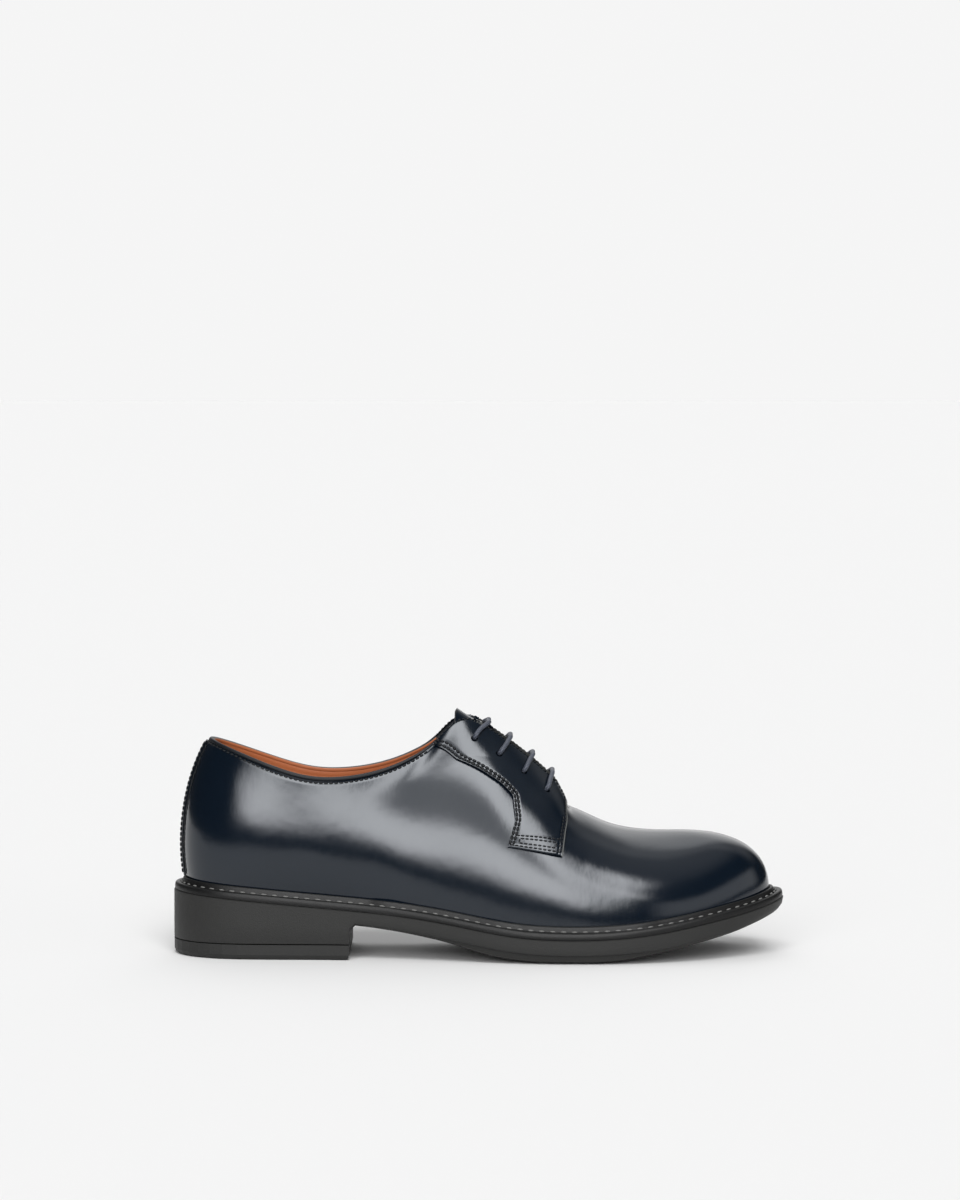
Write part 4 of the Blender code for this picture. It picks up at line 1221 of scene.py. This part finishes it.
def sockSpot(x, share, inset):
    loop = insetLoop(inset)[0]
    low, high = loop[:, 0].min(), loop[:, 0].max()
    x = low + (high - low) * x
    outer, inner = widthAt(loop, outerSide, x), widthAt(loop, innerSide, x)
    y = outer + (inner - outer) * share
    curve = 1 - (2 * share - 1) ** 2
    z = seatHeight(x) + shoe["gap"] + sockBuild["thickness"] - sockBuild["dish"] * curve * 0.5
    return np.column_stack([x, y, z])


def makeSock():
    build = sockBuild
    inset = shoe["weltShow"] + shoe["upperWall"] * 1.5 + shoe["gap"] + build["margin"]
    run = (1 - np.cos(math.pi * np.linspace(0, 1, build["stations"]))) / 2
    share = np.linspace(0, 1, build["across"])
    rows = np.array([sockSpot(run, np.full(len(run), part), inset) for part in share])
    sockPiece = skin("sock_lining", rows, [sock])
    mergeDoubles(sockPiece)
    if sockPiece.data.polygons[len(sockPiece.data.polygons) // 2].normal.z < 0:
        flip(sockPiece)
    thicken(sockPiece, build["thickness"] - build["raised"])
    smoothShade(sockPiece, 45)
    finishPiece(sockPiece, "tan_lining", "insole")


makeSock()
print("insole made")


# Welt with its bead, groove and stitches
weltBuild = {
    "thickness": 0.0034,
    "bead": 0.0026,
    "inset": 0.0004,
    "steps": 300,
    "stitch": {"pitch": 0.0053, "length": 0.0028, "radius": 0.00050},
    "stitchShare": 0.54,
    "grooveHeight": 0.98,
    "innerShares": (0.0, 0.5, 0.88),
    "searched": 0.4,
}
# Cross-section from the outer bottom corner over the top to the upper:
# share of the lip measured from the outer edge, share of the thickness, share of the bead
weltProfile = [
    (0.010, 0.02, 0.0), (0.002, 0.08, 0.0), (0.000, 0.20, 0.0), (0.002, 0.38, 0.0), (0.018, 0.58, 0.0),
    (0.055, 0.76, 0.0), (0.110, 0.90, 0.0), (0.180, 0.98, 0.0), (0.260, 1.00, 0.0), (0.380, 1.00, 0.0),
    (0.420, 0.99, 0.0), (0.450, 0.95, 0.0), (0.490, 0.93, 0.0), (0.540, 0.92, 0.0), (0.590, 0.93, 0.0),
    (0.620, 0.97, 0.02), (0.640, 1.00, 0.08), (0.660, 1.00, 0.25), (0.680, 1.00, 0.46), (0.715, 1.00, 0.70),
    (0.760, 1.00, 0.88), (0.820, 1.00, 0.98), (0.880, 1.00, 1.00), (0.930, 1.00, 0.94), (0.965, 1.00, 0.80),
]


def riseAtHeight(side, station, height):
    rises = np.linspace(0, weltBuild["searched"], 81)
    points = wallPoint(side, np.full(len(rises), station), rises)
    return np.interp(height, points[:, 2] - points[0, 2], rises)


def weltSections():
    build = weltBuild
    at = np.linspace(0, 1, build["steps"] + 1)
    path = [(outerSide, value) for value in at] + [(innerSide, value) for value in at[-2::-1]]
    tall = build["thickness"] + build["bead"]
    sections, seams = [], []
    for side, value in path:
        foot, way = footAt(side, [value])
        foot, way = foot[0], way[0]
        if value in (0.0, 1.0):
            way = unit(way + footAt(-side, [value])[1][0])
        base = seatHeight(foot[0])[0] + shoe["gap"]
        reach = shoe["weltShow"] + shoe["upperWall"] * 0.5 - build["inset"]
        inner = []
        for high in (tall * share for share in build["innerShares"]):
            rise = riseAtHeight(side, value, high)
            place = lifted(side, value, rise, shoe["gap"] * 0.5)[0]
            if value in (0.0, 1.0):
                place = (place + lifted(-side, value, rise, shoe["gap"] * 0.5)[0]) / 2
            inner.append(np.array([place[0], place[1], base + high]))
        lip = reach - np.linalg.norm(inner[2][:2] - foot)
        section = []
        for share, thick, bead in weltProfile:
            place = foot + way * (reach - lip * share)
            high = build["thickness"] * thick + build["bead"] * bead
            section.append((*place, seatHeight(place[0])[0] + shoe["gap"] + high))
        place = foot + way * (reach - lip * build["stitchShare"])
        seams.append((*place, seatHeight(place[0])[0] + shoe["gap"] + build["thickness"] * build["grooveHeight"]))
        bottom = foot + way * reach
        closing = (*bottom, seatHeight(bottom[0])[0] + shoe["gap"])
        sections.append([closing, *section, *[tuple(place) for place in reversed(inner)], closing])
    return np.array(sections), np.array(seams)


def makeWelt():
    sections, seams = weltSections()
    welt = skin("welt_rim", sections.transpose(1, 0, 2), [weltRubber])
    mergeDoubles(welt)
    turnOutwards(welt)
    smoothShade(welt, 40)
    finishPiece(welt, "welt_rubber", "welt")
    normals = np.tile([0.0, 0.0, 1.0], (len(seams), 1))
    sewRow("welt_stitches", [(seams, normals)], weltBuild["stitch"], weltThread, "welt_rubber")


makeWelt()
print("welt made")


# Outsole with its heel block, and the lift
soleBuild = {
    "heelStations": 40,
    "foreStations": 110,
    "breastChamfer": 0.003,
    "round": 0.0013,
    "step": 0.0001,
    "toeRound": (0.84, 0.99),
    "underside": 0.92,
    "endZone": 0.04,
}


def soleRing(xs, inset):
    loop = insetLoop(inset)[0]
    half = shoe["soleLength"] / 2
    zone = soleBuild["endZone"]
    squeezed = np.interp(xs, (-half, zone - half, half - zone, half),
                         (inset - half, zone - half, half - zone, half - inset))
    squeezed = np.clip(squeezed, loop[:, 0].min(), loop[:, 0].max())
    outer = np.column_stack([squeezed, widthAt(loop, outerSide, squeezed)])
    inner = np.column_stack([squeezed, widthAt(loop, innerSide, squeezed)])
    outer[0] = inner[0] = loop[np.argmin(loop[:, 0])]
    outer[-1] = inner[-1] = loop[np.argmax(loop[:, 0])]
    return np.vstack([outer[::-1], inner[1:-1]])


def makeOutsole():
    build = soleBuild
    half = shoe["soleLength"] / 2
    breast = shoe["heelLength"] - half
    step = build["step"]
    heel = -half + (breast + half) * (1 - np.cos(math.pi / 2 * np.linspace(0, 1, build["heelStations"])))
    start = breast + build["breastChamfer"]
    fore = start + (half - start) * np.sin(math.pi / 2 * np.linspace(0, 1, build["foreStations"]))
    xs = np.concatenate([heel, [breast + 2 * step], fore])
    inHeel = np.arange(len(xs)) < len(heel)
    chamfer = np.where(np.arange(len(xs)) == len(heel), build["breastChamfer"], 0.0)
    floor = shoe["liftThickness"] + shoe["gap"]
    edge = np.where(inHeel, floor, edgeHeight(xs) - chamfer)
    tread = np.where(inHeel, floor, treadHeight(xs) - chamfer)
    seat = seatHeight(xs)
    soft = build["round"]
    # inset, then height of each ring in the forepart and in the heel
    rings = [
        (soft * 0.5, seat, seat),
        (0.0, seat - soft * 0.4, seat - soft * 0.4),
        (0.0, seat * 0.5 + edge * 0.5, seat * 0.5 + edge * 0.5),
        (0.0, edge + soft, edge + soft * 0.5),
        (soft * 0.12, edge + soft * 0.45, edge + soft * 0.2),
        (soft * 0.5, edge + soft * 0.08, edge + soft * 0.05),
        (soft * 1.1, edge * 0.97 + tread * 0.03, edge),
        (shoe["edgeBevel"] * 0.3, edge * 0.35 + tread * 0.65, edge),
        (shoe["edgeBevel"] * 0.65, edge * 0.10 + tread * 0.90, edge),
        (shoe["edgeBevel"], tread, edge),
    ]
    heelInsets = [soft * 0.5, 0.0, 0.0, 0.0, soft * 0.1, soft * 0.4, 0.0010, 0.0012, 0.0014, 0.0016]
    toeInsets = [soft * 0.5, 0.0, 0.0006, 0.0022, 0.0030, 0.0038, 0.0046, 0.0056, 0.0066, 0.0075]
    toeShare = stepUp(toAlong(xs), *build["toeRound"])
    toeShare = np.concatenate([toeShare[::-1], toeShare[1:-1]])[:, None]
    grid = []
    for (inset, foreHeight, heelHeight), heelInset, toeInset in zip(rings, heelInsets, toeInsets):
        ring = soleRing(xs, inset) * (1 - toeShare) + soleRing(xs, toeInset) * toeShare
        inner = soleRing(xs, heelInset)
        heights = np.where(inHeel, heelHeight, foreHeight)
        mask = np.concatenate([inHeel[::-1], inHeel[1:-1]])
        ring[mask] = inner[mask]
        tall = np.concatenate([heights[::-1], heights[1:-1]])
        points = np.column_stack([ring, tall])
        grid.append(np.vstack([points, points[:1]]))
    grid = np.array(grid)
    outsole = skin("outsole_rubber", grid, [soleRubber, treadRubber])
    mergeDoubles(outsole, 1e-6)
    capAcross(outsole, grid[0][:-1])
    capAcross(outsole, grid[-1][:-1])
    turnOutwards(outsole)
    for face in outsole.data.polygons:
        face.material_index = int(face.normal.z < -build["underside"] and face.center.x > breast)
    smoothShade(outsole, 32)
    finishPiece(outsole, "sole_rubber", "outsole")


def capAcross(obj, ring):
    # strips from side to side over a ring whose points lie in pairs
    tree = KDTree(len(obj.data.vertices))
    for vertex in obj.data.vertices:
        tree.insert(vertex.co, vertex.index)
    tree.balance()
    found = [tree.find(point)[1] for point in ring]
    count = len(ring)
    strips = []
    for i in range(count // 2):
        strip = [found[i], found[i + 1], found[count - i - 1], found[(count - i) % count]]
        strip = list(dict.fromkeys(strip))
        if len(strip) > 2:
            strips.append(strip)
    mesh = obj.data
    points = [tuple(vertex.co) for vertex in mesh.vertices]
    kept = [tuple(face.vertices) for face in mesh.polygons]
    finishes = list(mesh.materials)
    mesh.clear_geometry()
    mesh.from_pydata(points, [], kept + strips)
    mesh.validate()
    if not mesh.materials:
        for finish in finishes:
            mesh.materials.append(finish)


makeOutsole()
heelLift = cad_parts["heel_lift"]
heelLift.data.materials.clear()
heelLift.data.materials.append(soleRubber)
print("sole made")


# Floor, light and camera
stageBuild = {
    "floorWidth": 120.0,
    "floorFront": 1.17,
    "floorColour": 0.795,
    "background": 0.915,
    "cameraElevation": 6.3,
    "cameraDistance": 2.0,
    "lens": 120.9,
    "lookAt": (0.0005, 0.0, 0.0575),
    "imageHeight": 1200,
    "shiftPixels": 235.3,
    "sensor": 36.0,
}
# How bright each light is
lightLevels = {"box": 8.2, "backdrop": 1.1, "side": 0.9, "overhead": 0.45, "rear": 0.35, "dark": 0.03}
# Where each light begins and ends: height as the sine of its angle, turn in radians from the camera to the toe
lightEdges = {
    "boxBottom": (0.08, 0.22),
    "boxTop": (0.84, 0.93),
    "boxHeel": (-0.68, -0.28),
    "boxToe": (0.28, 0.52),
    "boxNarrows": (0.62, 0.80),
    "boxRises": (0.05, 0.34),
    "gapBottom": (0.36, 0.46),
    "gapTop": (0.65, 0.76),
    "gapHeel": (-0.55, -0.28),
    "gapToe": (0.03, 0.17),
    "sideStart": (0.35, 0.60),
    "sideEnd": (1.5, 2.0),
    "sideBottom": (0.02, 0.12),
    "sideTop": (0.34, 0.48),
    "backdropStart": (2.50, 2.90),
    "backdropBottom": (0.02, 0.10),
    "overhead": (0.70, 0.98),
    "rearStart": (1.7, 2.3),
    "rearBottom": (0.30, 0.70),
}
boxNarrowing = 0.18
boxRise = 0.36
gapDepth = 0.78


def makeFloor():
    bpy.ops.object.select_all(action="DESELECT")
    width = stageBuild["floorWidth"]
    bpy.ops.mesh.primitive_plane_add(size=width, location=(0, width / 2 - stageBuild["floorFront"], 0))
    floor = bpy.context.object
    floor.name = "floor"
    shade = stageBuild["floorColour"]
    look = {"Roughness": 1.0, "Specular IOR Level": 0.0, "Base Color": (shade, shade, shade, 1)}
    floor.data.materials.append(newFinish("pale_floor", look)[0])


def makeWorld():
    world = bpy.data.worlds.new("studio")
    bpy.context.scene.world = world
    world.use_nodes = True
    paint = Paint(world.node_tree)
    way = paint.node("ShaderNodeTexCoord", {}, {}, "Generated")
    x, y, z = (paint.node("ShaderNodeSeparateXYZ", {}, {"Vector": way}, axis) for axis in "XYZ")
    turn = paint.math("ARCTAN2", x, y * -1)
    aside = paint.math("ABSOLUTE", turn, 0.0)

    def edge(value, name):
        return paint.ease(value, *lightEdges[name])

    low = z - edge(turn, "boxRises") * boxRise
    wide = turn - edge(z, "boxNarrows") * boxNarrowing
    gap = edge(z, "gapBottom") * (1 - edge(z, "gapTop")) * edge(turn, "gapHeel") * (1 - edge(turn, "gapToe"))
    box = edge(low, "boxBottom") * (1 - edge(z, "boxTop")) * edge(turn, "boxHeel") * (1 - edge(wide, "boxToe"))
    side = (edge(turn, "sideStart") * (1 - edge(turn, "sideEnd"))
            * edge(z, "sideBottom") * (1 - edge(z, "sideTop")))
    lights = {
        "box": box * (1 - gap * gapDepth),
        "backdrop": edge(aside, "backdropStart") * edge(z, "backdropBottom"),
        "side": side,
        "overhead": edge(z, "overhead"),
        "rear": edge(aside, "rearStart") * edge(z, "rearBottom"),
    }
    light = lightLevels["dark"]
    for name, mask in lights.items():
        light = mask * lightLevels[name] + light
    shown = paint.node("ShaderNodeLightPath", {}, {}, "Is Camera Ray")
    background = world.node_tree.nodes["Background"]
    paint.feed(background.inputs["Strength"], light * (1 - shown) + shown * stageBuild["background"])
    background.inputs["Color"].default_value = (1, 1, 1, 1)


def makeCamera():
    build = stageBuild
    camera = bpy.data.objects.new("camera", bpy.data.cameras.new("camera"))
    bpy.context.scene.collection.objects.link(camera)
    camera.data.lens = build["lens"]
    camera.data.sensor_width = build["sensor"]
    camera.data.clip_end = 500
    down = math.radians(build["cameraElevation"])
    x, y, z = build["lookAt"]
    camera.location = (x, y - math.cos(down) * build["cameraDistance"], z + math.sin(down) * build["cameraDistance"])
    rise = math.atan(build["shiftPixels"] / build["imageHeight"] * build["sensor"] / build["lens"])
    camera.rotation_euler = (math.pi / 2 - down + rise, 0, 0)
    bpy.context.scene.camera = camera


makeFloor()
makeWorld()
makeCamera()
bpy.context.scene.view_settings.view_transform = "Standard"
print("stage ready")
